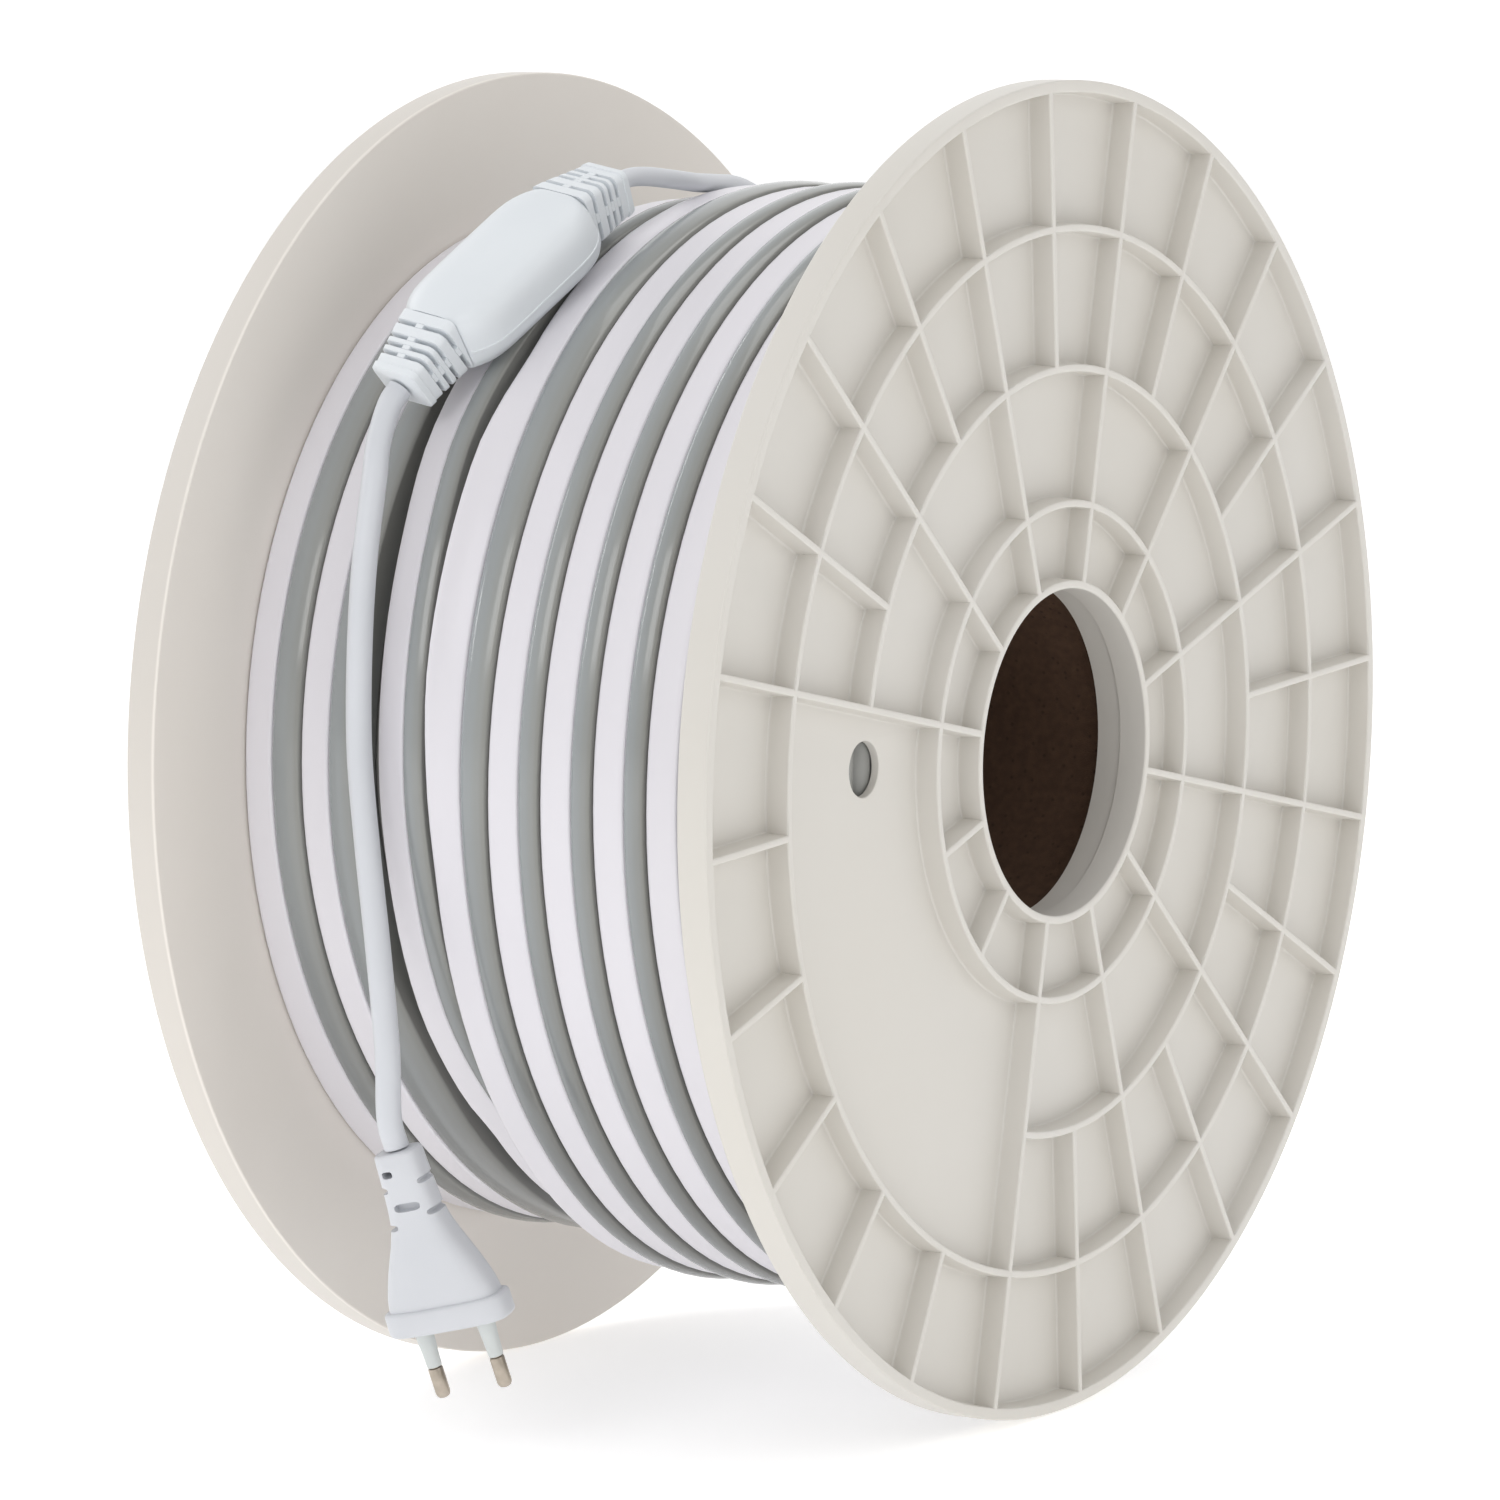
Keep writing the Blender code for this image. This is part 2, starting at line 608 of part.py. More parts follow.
# Plug
def plug_frame():
    """Plug's local frame at the middle of its pin face: X along the pins' row, Z up to the cord."""
    across = Vector((cos(radians(PLUG_LEAN)), 0, sin(radians(PLUG_LEAN))))
    upright = Vector((-sin(radians(PLUG_LEAN)), 0, cos(radians(PLUG_LEAN))))
    up = Matrix.Rotation(radians(PLUG_TILT), 3, across) @ upright
    side = Matrix.Rotation(radians(PLUG_TURN), 3, up) @ across
    return placed(REEL_CENTRE + Vector(PLUG_FACE), side, up)


def plug_stations():
    shoulder = PLUG_BASE_HEIGHT
    body = [(0.0, 0.97, 0.92), (0.0008, 1.0, 1.0), (shoulder - 0.0008, 1.0, 1.0), (shoulder, 0.97, 0.93),
            (shoulder, 0.88, 0.86), (0.0125, 0.83, 0.88), (0.0195, 0.66, 0.85), (0.0255, 0.46, 0.78),
            (0.0285, 0.37, 0.72)]
    stations = [(height, rounded_outline(PLUG_WIDTH * wide, PLUG_DEPTH * deep, 24, 3.2))
                for height, wide, deep in body]
    relief_start = 0.0285
    slots = 3
    pitch = (PLUG_LENGTH - relief_start) / (slots + 0.5)
    for k in range(slots):
        low = relief_start + pitch * (k + 0.55)
        for height, inset in ((low, 0.0), (low, 0.0022), (low + 0.0016, 0.0022), (low + 0.0016, 0.0)):
            stations.append((height, rounded_outline(PLUG_WIDTH * 0.36 - 2 * inset,
                                                     PLUG_DEPTH * 0.68 - inset, 24, 3.2)))
    stations.append((PLUG_LENGTH, rounded_outline(PLUG_WIDTH * 0.34, PLUG_DEPTH * 0.64, 24, 3.2)))
    return stations


def ring_loop(bm, radius, height, facets=12):
    return [bm.verts.new((x, y, height)) for x, y in circle(radius, facets)]


def pin_mesh(name):
    """Pin pointing to -Z: a thin core in the sleeve and a full-width tip with a rounded end."""
    bm = bmesh.new()
    sleeve_end = PIN_SLEEVE_LENGTH + 2 * SEAT_GAP
    profile = [(PIN_CORE_RADIUS, SEAT_GAP), (PIN_CORE_RADIUS, sleeve_end), (PIN_RADIUS, sleeve_end),
               (PIN_RADIUS, PIN_LENGTH - 0.0014), (PIN_RADIUS * 0.8, PIN_LENGTH - 0.0004),
               (PIN_RADIUS * 0.35, PIN_LENGTH)]
    loops = [ring_loop(bm, radius, -depth) for radius, depth in profile]
    for upper, lower in zip(loops, loops[1:]):
        join_loops(bm, upper, lower)
    bm.faces.new(loops[0])
    bm.faces.new(loops[-1])
    return finish_mesh(bm, name)


def sleeve_mesh(name):
    bm = bmesh.new()
    bore = PIN_CORE_RADIUS + SEAT_GAP
    end = PIN_SLEEVE_LENGTH + SEAT_GAP
    profile = [(PIN_RADIUS + SLEEVE_FLARE, SEAT_GAP), (PIN_RADIUS, end), (bore, end), (bore, SEAT_GAP)]
    loops = [ring_loop(bm, radius, -depth) for radius, depth in profile]
    for i, loop in enumerate(loops):
        join_loops(bm, loop, loops[(i + 1) % len(loops)])
    return finish_mesh(bm, name)


def make_plug():
    frame = plug_frame()
    add_object("plug_body", loft_mesh("plug_body", plug_stations()),
               material("plug_plastic", (0.78, 0.79, 0.82), 0.4), frame)
    for name, side in (("left", -1), ("right", 1)):
        place = frame @ Matrix.Translation((side * PIN_SPACING / 2, 0, 0))
        metal = material("pin_metal", (0.55, 0.50, 0.45), 0.35, 1.0)
        add_object("pin_" + name, pin_mesh("pin_" + name), metal, place)
        add_object("pin_sleeve_" + name, sleeve_mesh("pin_sleeve_" + name),
                   material("sleeve_plastic", (0.72, 0.75, 0.74), 0.4), place)


def make_part():
    clear_scene()
    make_flanges()
    make_core()
    make_winding()
    make_rectifier()
    make_connector()
    make_cords()
    make_plug()


make_part()
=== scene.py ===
"""Looks of a led strip light on its reel: the camera, soft light, a pale floor and the fine pieces.

Every piece is made in metres in the part's own frame, round the reel's axis along X.
"""

from math import asin, atan2, ceil, cos, degrees, pi, radians, sin, tan

import bmesh
import bpy
from mathutils import Matrix, Vector


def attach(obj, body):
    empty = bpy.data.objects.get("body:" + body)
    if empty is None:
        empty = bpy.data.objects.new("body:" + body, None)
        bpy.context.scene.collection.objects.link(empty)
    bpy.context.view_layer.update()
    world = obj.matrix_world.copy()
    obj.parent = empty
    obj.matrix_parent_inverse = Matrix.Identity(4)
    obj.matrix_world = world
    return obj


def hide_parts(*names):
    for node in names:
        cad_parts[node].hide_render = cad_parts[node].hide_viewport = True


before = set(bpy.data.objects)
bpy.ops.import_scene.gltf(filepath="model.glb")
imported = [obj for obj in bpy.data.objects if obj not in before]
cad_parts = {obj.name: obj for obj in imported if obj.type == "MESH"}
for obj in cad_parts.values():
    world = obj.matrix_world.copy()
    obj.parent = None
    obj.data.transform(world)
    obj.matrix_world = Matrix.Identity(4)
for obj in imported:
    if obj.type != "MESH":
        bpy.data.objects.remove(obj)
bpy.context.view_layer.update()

# Sizes shared with the part
SEAT_GAP = 0.0003
REEL_RADIUS = 0.180
REEL_WIDTH = 0.1794
FLANGE_THICKNESS = 0.0088
FLANGE_WEB = 0.0022
RIM_WALL = 0.0033
RING_WALL = 0.0020
RIB_WALL = 0.0019
OUTER_RING_RADIUS = 0.1407
MIDDLE_RING_RADIUS = 0.1033
INNER_RING_RADIUS = 0.067
BORE_RADIUS = 0.0441
COLLAR_WALL = 0.0023
SPIGOT_WALL = 0.0041
SPIGOT_LENGTH = 0.007
CORE_WALL = 0.005
PEG_HOLE_RADIUS = 0.0073
PEG_HOLE_PLACE = 0.094
PEG_HOLE_ANGLE = 178.0
FINE_RIB_PITCH = 15
FINE_RIB_START = 4
COARSE_RIB_PITCH = 30
COARSE_RIB_START = -11
PLAIN_SECTOR_START = 169
PLAIN_SECTOR_SPAN = 90
STRIP_WIDTH = 0.016
JACKET_WIDTH = 0.0096
TURN_PITCH = 0.0162
DOME_RISE = 0.0014
LAYER_HEIGHT = 0.0096
FULL_LAYERS = 9
LOWER_TURN_EDGE = -0.0625
LAST_TURN_FRONT_EDGE = -0.0288
STRIP_END_ANGLE = 121.0
STRIP_COURSE = [(-239, 0.0, 0.0, 0.0), (-190, 0.0, 0.0, 0.0), (-140, 0.0, 0.0096, 0.0),
                (-47, 0.0, 0.0096, 0.0), (-41, -0.0003, 0.0078, 0.0), (-34, -0.0007, 0.0054, -0.0006),
                (-26, -0.0011, 0.0028, -0.0012), (-12, -0.0020, 0.0010, -0.0018),
                (0, -0.0035, 0.0, -0.0022), (24, -0.0064, 0.0, -0.0022), (36, -0.0083, 0.0, -0.0020),
                (58, -0.0052, 0.0, -0.0010), (72, -0.0028, 0.0004, -0.0004), (80, -0.0015, 0.0020, 0.0),
                (88, -0.0007, 0.0038, 0.0), (96, 0.0, 0.0047, 0.0), (130, 0.0, 0.0045, 0.0),
                (170, 0.0, 0.0, 0.0), (300, 0.0, 0.0, 0.0), (348, -0.0012, 0.0, 0.0),
                (360, -0.0019, 0.0, 0.0020), (372, -0.0024, 0.0, 0.0045), (392, -0.0032, 0.0, 0.0045),
                (400, -0.0037, 0.0, 0.0020), (406, -0.0040, 0.0, 0.0), (420, -0.0046, 0.0, 0.0),
                (450, -0.0030, 0.0, 0.0), (481, 0.0, 0.0, 0.0)]
SLOT_COURSE = [(-239, -0.0445, 0.0), (-100, -0.0445, 0.0), (-60, -0.0350, 0.0), (-40, -0.0360, 0.1),
               (-20, -0.0415, 0.7), (0, -0.0445, 1.0), (65, -0.0445, 1.0), (85, -0.0445, 0.0),
               (121, -0.0445, 0.0)]
RECTIFIER_LENGTH = 0.0525
RECTIFIER_WIDTH = 0.033
RECTIFIER_THICKNESS = 0.019
RECTIFIER_ANGLE = 52.2
RECTIFIER_PLACE = -0.0268
RECTIFIER_YAW = 14.5
RELIEF_LENGTH = 0.0170
RELIEF_BASE = (0.0200, 0.0160)
RELIEF_END = (0.0160, 0.0130)
RELIEF_BEND = 11.4
CONNECTOR_LENGTH = 0.026
CONNECTOR_WIDTH = 0.0155
CONNECTOR_HEIGHT = 0.0135
SUPPLY_CORD_DIAMETER = 0.0067
OUTPUT_LEAD_DIAMETER = 0.0052
SUPPLY_ROUTE = [(-0.0378, -0.1304, 0.0986), (-0.0388, -0.1337, 0.0944), (-0.0379, -0.1398, 0.0850),
                (-0.0359, -0.1445, 0.0758), (-0.0350, -0.1500, 0.0553), (-0.0341, -0.1535, 0.0322),
                (-0.0327, -0.1555, 0.0064), (-0.0290, -0.1570, -0.0192), (-0.0245, -0.1585, -0.0450),
                (-0.0210, -0.1593, -0.0710), (-0.0207, -0.1588, -0.0885), (-0.01945, -0.15715, -0.0964)]
OUTPUT_ROUTE = [(-0.0158, -0.0630, 0.1507), (-0.0145, -0.0577, 0.1529), (-0.0132, -0.0510, 0.1532),
                (-0.0124, -0.0430, 0.1526), (-0.0124, -0.0340, 0.1518), (-0.0137, -0.0250, 0.1511),
                (-0.0165, -0.0140, 0.1507), (-0.0203, -0.0030, 0.1503), (-0.0243, 0.0090, 0.1499),
                (-0.0278, 0.0200, 0.1488), (-0.0304, 0.0305, 0.1468), (-0.0316, 0.0408, 0.1440),
                (-0.0319, 0.0517, 0.1388)]
PLUG_WIDTH = 0.0353
PLUG_DEPTH = 0.0137
PLUG_BASE_HEIGHT = 0.0068
PLUG_LENGTH = 0.049
PLUG_FACE = (-0.0090, -0.1460, -0.1437)
PLUG_LEAN = 12.5
PLUG_TILT = 13.0
PLUG_TURN = 7.0
PIN_SPACING = 0.0186
PIN_RADIUS = 0.0020
PIN_LENGTH = 0.019
PIN_SLEEVE_LENGTH = 0.010
SLEEVE_FLARE = 0.0006

# The strip's jacket and light face: share of their own width, and height over the jacket's flat
JACKET_SECTION = [(0.0, -0.0088), (0.0, -0.0010), (0.02, -0.00038), (0.06, -0.00006), (0.11, 0.00002),
                  (0.24, -0.00008), (0.50, -0.00014), (0.76, -0.00008), (0.90, 0.00002), (0.955, -0.00010),
                  (0.985, -0.00045), (1.0, -0.0011)]
FACE_SECTION = [(0.0, -0.0008), (0.03, 0.0), (0.09, 0.0006), (0.18, 0.0011), (0.30, 0.00138),
                (0.45, 0.00142), (0.60, 0.00132), (0.75, 0.00108), (0.88, 0.00076), (0.96, 0.00046),
                (0.99, 0.0001), (1.0, -0.0088)]
JACKET_COUNT = len(JACKET_SECTION)
# Tones of the light face by share of its width; the darker ends are painted shade in the creases beside the
# neighbouring turns
FACE_TONES_AND_PAINTED_EDGE_SHADE = ((0.0, (0.208, 0.222, 0.228)), (0.10, (0.312, 0.335, 0.345)), (0.45, (0.312, 0.330, 0.333)),
              (0.75, (0.304, 0.313, 0.303)), (0.93, (0.280, 0.282, 0.263)), (1.0, (0.226, 0.227, 0.211)))
# How the turns are swept and where the lower ones go, in degrees of travel as in the courses above
TURN_STEP = 3
TURN_GAP = 0.0003
CUT_INSET = 0.0001
FIRST_LOWER_FACE = -0.0718
SECOND_LOWER_FACE = -0.0535
LOWER_DRIFT_COURSE = [(-239, 0.0), (-160, 0.0), (-60, 0.003), (0, 0.0), (121, 0.0)]
SLOT_OPENS = -47
BURIED_COURSE = [(SLOT_OPENS, 1.0), (65, 1.0), (85, 0.0), (121, 0.0)]
SLOT_CLOSES = 60
WIDENED_FROM = 300

# Sizes that follow from the ones above
REEL_HALF = REEL_WIDTH / 2
INNER_FACE = REEL_HALF - FLANGE_THICKNESS
WEB_FACE = INNER_FACE + FLANGE_WEB
SPIGOT_RADIUS = BORE_RADIUS + SPIGOT_WALL
CORE_BORE_RADIUS = SPIGOT_RADIUS + SEAT_GAP
CORE_RADIUS = CORE_BORE_RADIUS + CORE_WALL
WINDING_BORE_RADIUS = CORE_RADIUS + 2 * SEAT_GAP
WINDING_HALF = INNER_FACE - SEAT_GAP
LOWER_RADIUS = WINDING_BORE_RADIUS + FULL_LAYERS * LAYER_HEIGHT
UPPER_RADIUS = LOWER_RADIUS + LAYER_HEIGHT
PLAIN_SECTOR_END = PLAIN_SECTOR_START + PLAIN_SECTOR_SPAN
CENTRE = Vector((0, 0, REEL_RADIUS))

# Camera, as solved from the outlines of both flanges
CAMERA_LENS = 168.44
CAMERA_PLACE = (1.0168, -1.6331, 0.3796)
CAMERA_FORWARD = (-0.5296, 0.8416, -0.1058)
CAMERA_RIGHT = (0.8459, 0.5333, 0.0076)

# Lamps: name, place, power, size and colour, and a strip's length and the direction that it runs in
STRIP_LAMP_PLACE = CENTRE + Vector((-0.88, -0.13, 0.46)) * 2.4
LAMPS = [("key", (0.2, -2.8, 1.6), 15.0, 1.3),
         ("side", (2.6, -0.3, 1.5), 8.0, 1.6, (1.0, 0.99, 0.97)),
         ("top", (0.2, 0.3, 2.6), 13.0, 1.6),
         ("edge", tuple(STRIP_LAMP_PLACE), 12.0, 0.14, (1.0, 1.0, 1.0), 2.4, (0.19, 0.91, 0.54))]
BACKDROP_DIRECTION = (-0.53, 0.84, 0.0)
ROOM_STRENGTH = 0.60
BACKDROP_STRENGTH = 1.12
FLOOR_GLOW = 0.42


# Camera at the photograph's angle
def make_camera():
    lens = bpy.data.cameras.new("camera")
    lens.sensor_width = 36.0
    lens.lens = CAMERA_LENS
    lens.clip_start, lens.clip_end = 0.05, 50.0
    camera = bpy.data.objects.new("camera", lens)
    bpy.context.scene.collection.objects.link(camera)
    forward = Vector(CAMERA_FORWARD).normalized()
    right = Vector(CAMERA_RIGHT)
    right = (right - forward * right.dot(forward)).normalized()
    up = right.cross(forward)
    turn = Matrix((right, up, -forward)).transposed().to_4x4()
    camera.matrix_world = Matrix.Translation(CAMERA_PLACE) @ turn
    bpy.context.scene.camera = camera


# Finishes
def map_range(nodes, links, value, low, high, source=(0.0, 1.0), kind="LINEAR"):
    """Output that goes from low to high while value goes through its source range."""
    node = nodes.new("ShaderNodeMapRange")
    node.interpolation_type = kind
    node.inputs["From Min"].default_value, node.inputs["From Max"].default_value = source
    node.inputs["To Min"].default_value = low
    node.inputs["To Max"].default_value = high
    links.new(value, node.inputs["Value"])
    return node.outputs["Result"]


def multiplied(nodes, links, first, second):
    """Colour output of two inputs multiplied with each other."""
    node = nodes.new("ShaderNodeMix")
    node.data_type, node.blend_type = "RGBA", "MULTIPLY"
    node.inputs["Factor"].default_value = 1.0
    links.new(first, node.inputs["A"])
    links.new(second, node.inputs["B"])
    return node.outputs["Result"]


def mixed_finish(name, colour, darker, roughness, mottle=30.0, grain=900.0, bump=0.05, spread=0.06,
                 specular=0.5, metallic=0.0, depth=0.00015):
    """Plastic or metal whose colour, roughness and surface vary a little from place to place."""
    made = bpy.data.materials.new(name)
    made.use_nodes = True
    nodes, links = made.node_tree.nodes, made.node_tree.links
    shader = nodes["Principled BSDF"]
    shader.inputs["Metallic"].default_value = metallic
    shader.inputs["Specular IOR Level"].default_value = specular
    place = nodes.new("ShaderNodeTexCoord")
    clouds = nodes.new("ShaderNodeTexNoise")
    clouds.inputs["Scale"].default_value = mottle
    clouds.inputs["Detail"].default_value = 4.0
    links.new(place.outputs["Object"], clouds.inputs["Vector"])
    ramp = nodes.new("ShaderNodeValToRGB")
    ramp.color_ramp.interpolation = "EASE"
    ramp.color_ramp.elements[0].position = 0.2
    ramp.color_ramp.elements[0].color = (*darker, 1.0)
    ramp.color_ramp.elements[1].position = 0.8
    ramp.color_ramp.elements[1].color = (*colour, 1.0)
    links.new(clouds.outputs["Fac"], ramp.inputs["Fac"])
    links.new(ramp.outputs["Color"], shader.inputs["Base Color"])
    polish = map_range(nodes, links, clouds.outputs["Fac"], roughness - spread, roughness + spread)
    links.new(polish, shader.inputs["Roughness"])
    grains = nodes.new("ShaderNodeTexNoise")
    grains.inputs["Scale"].default_value = grain
    grains.inputs["Detail"].default_value = 3.0
    links.new(place.outputs["Object"], grains.inputs["Vector"])
    relief = nodes.new("ShaderNodeBump")
    relief.inputs["Strength"].default_value = bump
    relief.inputs["Distance"].default_value = depth
    links.new(grains.outputs["Fac"], relief.inputs["Height"])
    links.new(relief.outputs["Normal"], shader.inputs["Normal"])
    return made


def face_finish_with_painted_shade():
    """Grey face of the strip: its tone changes across it and darkens at both edges as painted shade, and
    painted shade darkens it low on the reel.
    """
    made = mixed_finish("grey_light_face_with_painted_shade", (1.0, 1.0, 1.0), (0.93, 0.93, 0.93), 0.16, mottle=22.0,
                        grain=420.0, bump=0.03, specular=0.6, depth=0.0001)
    nodes, links = made.node_tree.nodes, made.node_tree.links
    shader = nodes["Principled BSDF"]
    clouds = shader.inputs["Base Color"].links[0].from_socket
    across = nodes.new("ShaderNodeUVMap")
    across.uv_map = "across"
    parts = nodes.new("ShaderNodeSeparateXYZ")
    links.new(across.outputs["UV"], parts.inputs["Vector"])
    # Tones across the face; its darker ends are painted shade beside the neighbouring turns
    ramp = nodes.new("ShaderNodeValToRGB")
    ramp.color_ramp.interpolation = "EASE"
    elements = ramp.color_ramp.elements
    elements[0].position, elements[0].color = FACE_TONES_AND_PAINTED_EDGE_SHADE[0][0], (*FACE_TONES_AND_PAINTED_EDGE_SHADE[0][1], 1.0)
    elements[1].position, elements[1].color = FACE_TONES_AND_PAINTED_EDGE_SHADE[-1][0], (*FACE_TONES_AND_PAINTED_EDGE_SHADE[-1][1], 1.0)
    for position, grey in FACE_TONES_AND_PAINTED_EDGE_SHADE[1:-1]:
        elements.new(position).color = (*grey, 1.0)
    links.new(parts.outputs["X"], ramp.inputs["Fac"])
    tone_with_painted_edge_shade = multiplied(nodes, links, ramp.outputs["Color"], clouds)
    # Painted shade: the face is darkened low on the reel, where less light falls from above
    height = nodes.new("ShaderNodeSeparateXYZ")
    place = next(n for n in nodes if n.type == "TEX_COORD")
    links.new(place.outputs["Object"], height.inputs["Vector"])
    painted_low_shade = map_range(nodes, links, height.outputs["Z"], 0.62, 1.0, (-0.15, 0.03), "SMOOTHSTEP")
    links.new(multiplied(nodes, links, tone_with_painted_edge_shade, painted_low_shade), shader.inputs["Base Color"])
    return made


def painted_light_far_reel_finish():
    """The reel's plastic with painted light: paler on the face towards the strip than on its outside,
    standing in for light that falls short on that face.
    """
    made = mixed_finish("painted_light_far_reel_plastic", (0.830, 0.790, 0.738), (0.800, 0.752, 0.692), 0.42,
                        mottle=9.0, grain=1500.0, bump=0.06)
    nodes, links = made.node_tree.nodes, made.node_tree.links
    shader = nodes["Principled BSDF"]
    painted_lit_colour = shader.inputs["Base Color"].links[0].from_socket
    place = next(n for n in nodes if n.type == "TEX_COORD")
    parts = nodes.new("ShaderNodeSeparateXYZ")
    links.new(place.outputs["Object"], parts.inputs["Vector"])
    # Painted light: the inner face keeps the paler colour, the outside is darkened back to the near flange's
    # tone
    painted_light_mask = map_range(nodes, links, parts.outputs["X"], 1.0, 0.81,
                        (INNER_FACE + 0.0004, INNER_FACE + 0.0009))
    links.new(multiplied(nodes, links, painted_lit_colour, painted_light_mask), shader.inputs["Base Color"])
    return made


def cardboard_finish():
    """Brown board with small dark specks."""
    made = mixed_finish("wound_board", (0.105, 0.060, 0.038), (0.075, 0.042, 0.027), 0.9, mottle=420.0,
                        grain=2600.0, bump=0.5, spread=0.05, specular=0.2, depth=0.0003)
    nodes, links = made.node_tree.nodes, made.node_tree.links
    shader = nodes["Principled BSDF"]
    base = shader.inputs["Base Color"].links[0].from_socket
    specks = nodes.new("ShaderNodeTexVoronoi")
    specks.inputs["Scale"].default_value = 330.0
    place = next(n for n in nodes if n.type == "TEX_COORD")
    links.new(place.outputs["Object"], specks.inputs["Vector"])
    dark_share = map_range(nodes, links, specks.outputs["Distance"], 0.55, 0.0, (0.10, 0.22))
    blend = nodes.new("ShaderNodeMix")
    blend.data_type = "RGBA"
    links.new(dark_share, blend.inputs["Factor"])
    links.new(base, blend.inputs["A"])
    blend.inputs["B"].default_value = (0.035, 0.020, 0.013, 1.0)
    links.new(blend.outputs["Result"], shader.inputs["Base Color"])
    return made


def make_finishes():
    return {
        "reel": mixed_finish("moulded_reel_plastic", (0.672, 0.650, 0.611), (0.649, 0.622, 0.573), 0.42,
                             mottle=9.0, grain=1500.0, bump=0.06),
        "painted_light_far_reel": painted_light_far_reel_finish(),
        "board": cardboard_finish(),
        "jacket": mixed_finish("white_jacket", (0.745, 0.728, 0.766), (0.726, 0.707, 0.748), 0.38,
                               mottle=14.0, grain=700.0, bump=0.04, specular=0.45),
        "face": face_finish_with_painted_shade(),
        "ends": mixed_finish("grey_turn_sides", (0.30, 0.30, 0.285), (0.26, 0.26, 0.245), 0.3,
                             mottle=60.0, grain=500.0),
        "rectifier": mixed_finish("rectifier_plastic", (0.725, 0.758, 0.786), (0.702, 0.735, 0.767), 0.40,
                                  mottle=50.0, grain=2400.0, bump=0.10),
        "relief": mixed_finish("relief_plastic", (0.740, 0.772, 0.800), (0.715, 0.748, 0.780), 0.45,
                               mottle=60.0, grain=2400.0, bump=0.10),
        "sheath": mixed_finish("cord_sheath", (0.640, 0.655, 0.690), (0.618, 0.635, 0.670), 0.42,
                               mottle=60.0, grain=1800.0, bump=0.08),
        "plug": mixed_finish("plug_plastic", (0.625, 0.637, 0.668), (0.602, 0.616, 0.648), 0.42,
                             mottle=60.0, grain=2400.0, bump=0.10),
        "metal": mixed_finish("nickel", (0.52, 0.46, 0.39), (0.40, 0.35, 0.29), 0.32,
                              mottle=300.0, grain=3000.0, bump=0.15, metallic=1.0),
        "sleeve": mixed_finish("sleeve_plastic", (0.62, 0.65, 0.64), (0.58, 0.61, 0.60), 0.42,
                               mottle=90.0, grain=2400.0, bump=0.08),
    }


# Mesh helpers
def polar(radius, angle):
    return radius * cos(radians(angle)), radius * sin(radians(angle))


def circle(radius, facets):
    return [polar(radius, (step + 0.5) * 360 / facets) for step in range(facets)]


def loop_at(bm, x, outline):
    return [bm.verts.new((x, y, z)) for y, z in outline]


def join_loops(bm, first, second):
    count = len(first)
    for i in range(count):
        j = (i + 1) % count
        bm.faces.new((first[i], first[j], second[j], second[i]))


def join_all(bm, loops):
    for first, second in zip(loops, loops[1:]):
        join_loops(bm, first, second)


def fill_between(bm, loops):
    """Flat face bounded by the first loop, with the other loops as its holes."""
    edges = []
    for loop in loops:
        for i, vertex in enumerate(loop):
            pair = (vertex, loop[(i + 1) % len(loop)])
            edges.append(bm.edges.get(pair) or bm.edges.new(pair))
    bmesh.ops.triangle_fill(bm, use_beauty=True, use_dissolve=False, edges=edges)


def finish_mesh(bm, name):
    bmesh.ops.recalc_face_normals(bm, faces=bm.faces[:])
    mesh = bpy.data.meshes.new(name)
    bm.to_mesh(mesh)
    bm.free()
    return mesh


def add_piece(name, mesh, finish, nodes, matrix=None, smooth=35.0, weighted=False):
    """A piece that stands for CAD nodes, rides on the reel and has the given finish as its material."""
    mesh.materials.append(finish)
    mesh.shade_smooth()
    mesh.set_sharp_from_angle(angle=radians(smooth))
    piece = bpy.data.objects.new(name, mesh)
    bpy.context.scene.collection.objects.link(piece)
    piece.matrix_world = matrix or Matrix.Translation(CENTRE)
    if weighted:
        piece.modifiers.new("normals", "WEIGHTED_NORMAL").keep_sharp = True
    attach(piece, "root")
    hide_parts(*nodes)
    return piece


def revolved(name, profile, facets):
    """Closed ring round X through the corners (x, radius) of its section."""
    bm = bmesh.new()
    loops = [loop_at(bm, x, circle(radius, facets)) for x, radius in profile]
    join_all(bm, loops + [loops[0]])
    return finish_mesh(bm, name)


def loft_mesh(name, stations):
    """Closed skin through outlines, each given with its height along Z."""
    bm = bmesh.new()
    loops = [[bm.verts.new((x, y, height)) for x, y in outline] for height, outline in stations]
    join_all(bm, loops)
    bm.faces.new(loops[0])
    bm.faces.new(loops[-1])
    return finish_mesh(bm, name)


def placed(origin, side, up):
    z = up.normalized()
    y = z.cross(side).normalized()
    x = y.cross(z)
    return Matrix.Translation(origin) @ Matrix((x, y, z)).transposed().to_4x4()


# Flanges
def pocket_outline(inner, outer, start, end, arc_step, grow):
    """Outline of a pocket between two rings and two ribs, grown on every side by grow."""
    half_rib = RIB_WALL / 2
    points = []
    for nominal, radius, direction in ((inner, inner - grow, 1), (outer, outer + grow, -1)):
        steps = max(1, ceil((end - start) * nominal / outer / arc_step))
        inset = degrees(asin((half_rib - grow) / radius))
        first, last = start + inset, end - inset
        arc = [polar(radius, first + (last - first) * k / steps) for k in range(steps + 1)]
        points += arc[::direction]
    return points


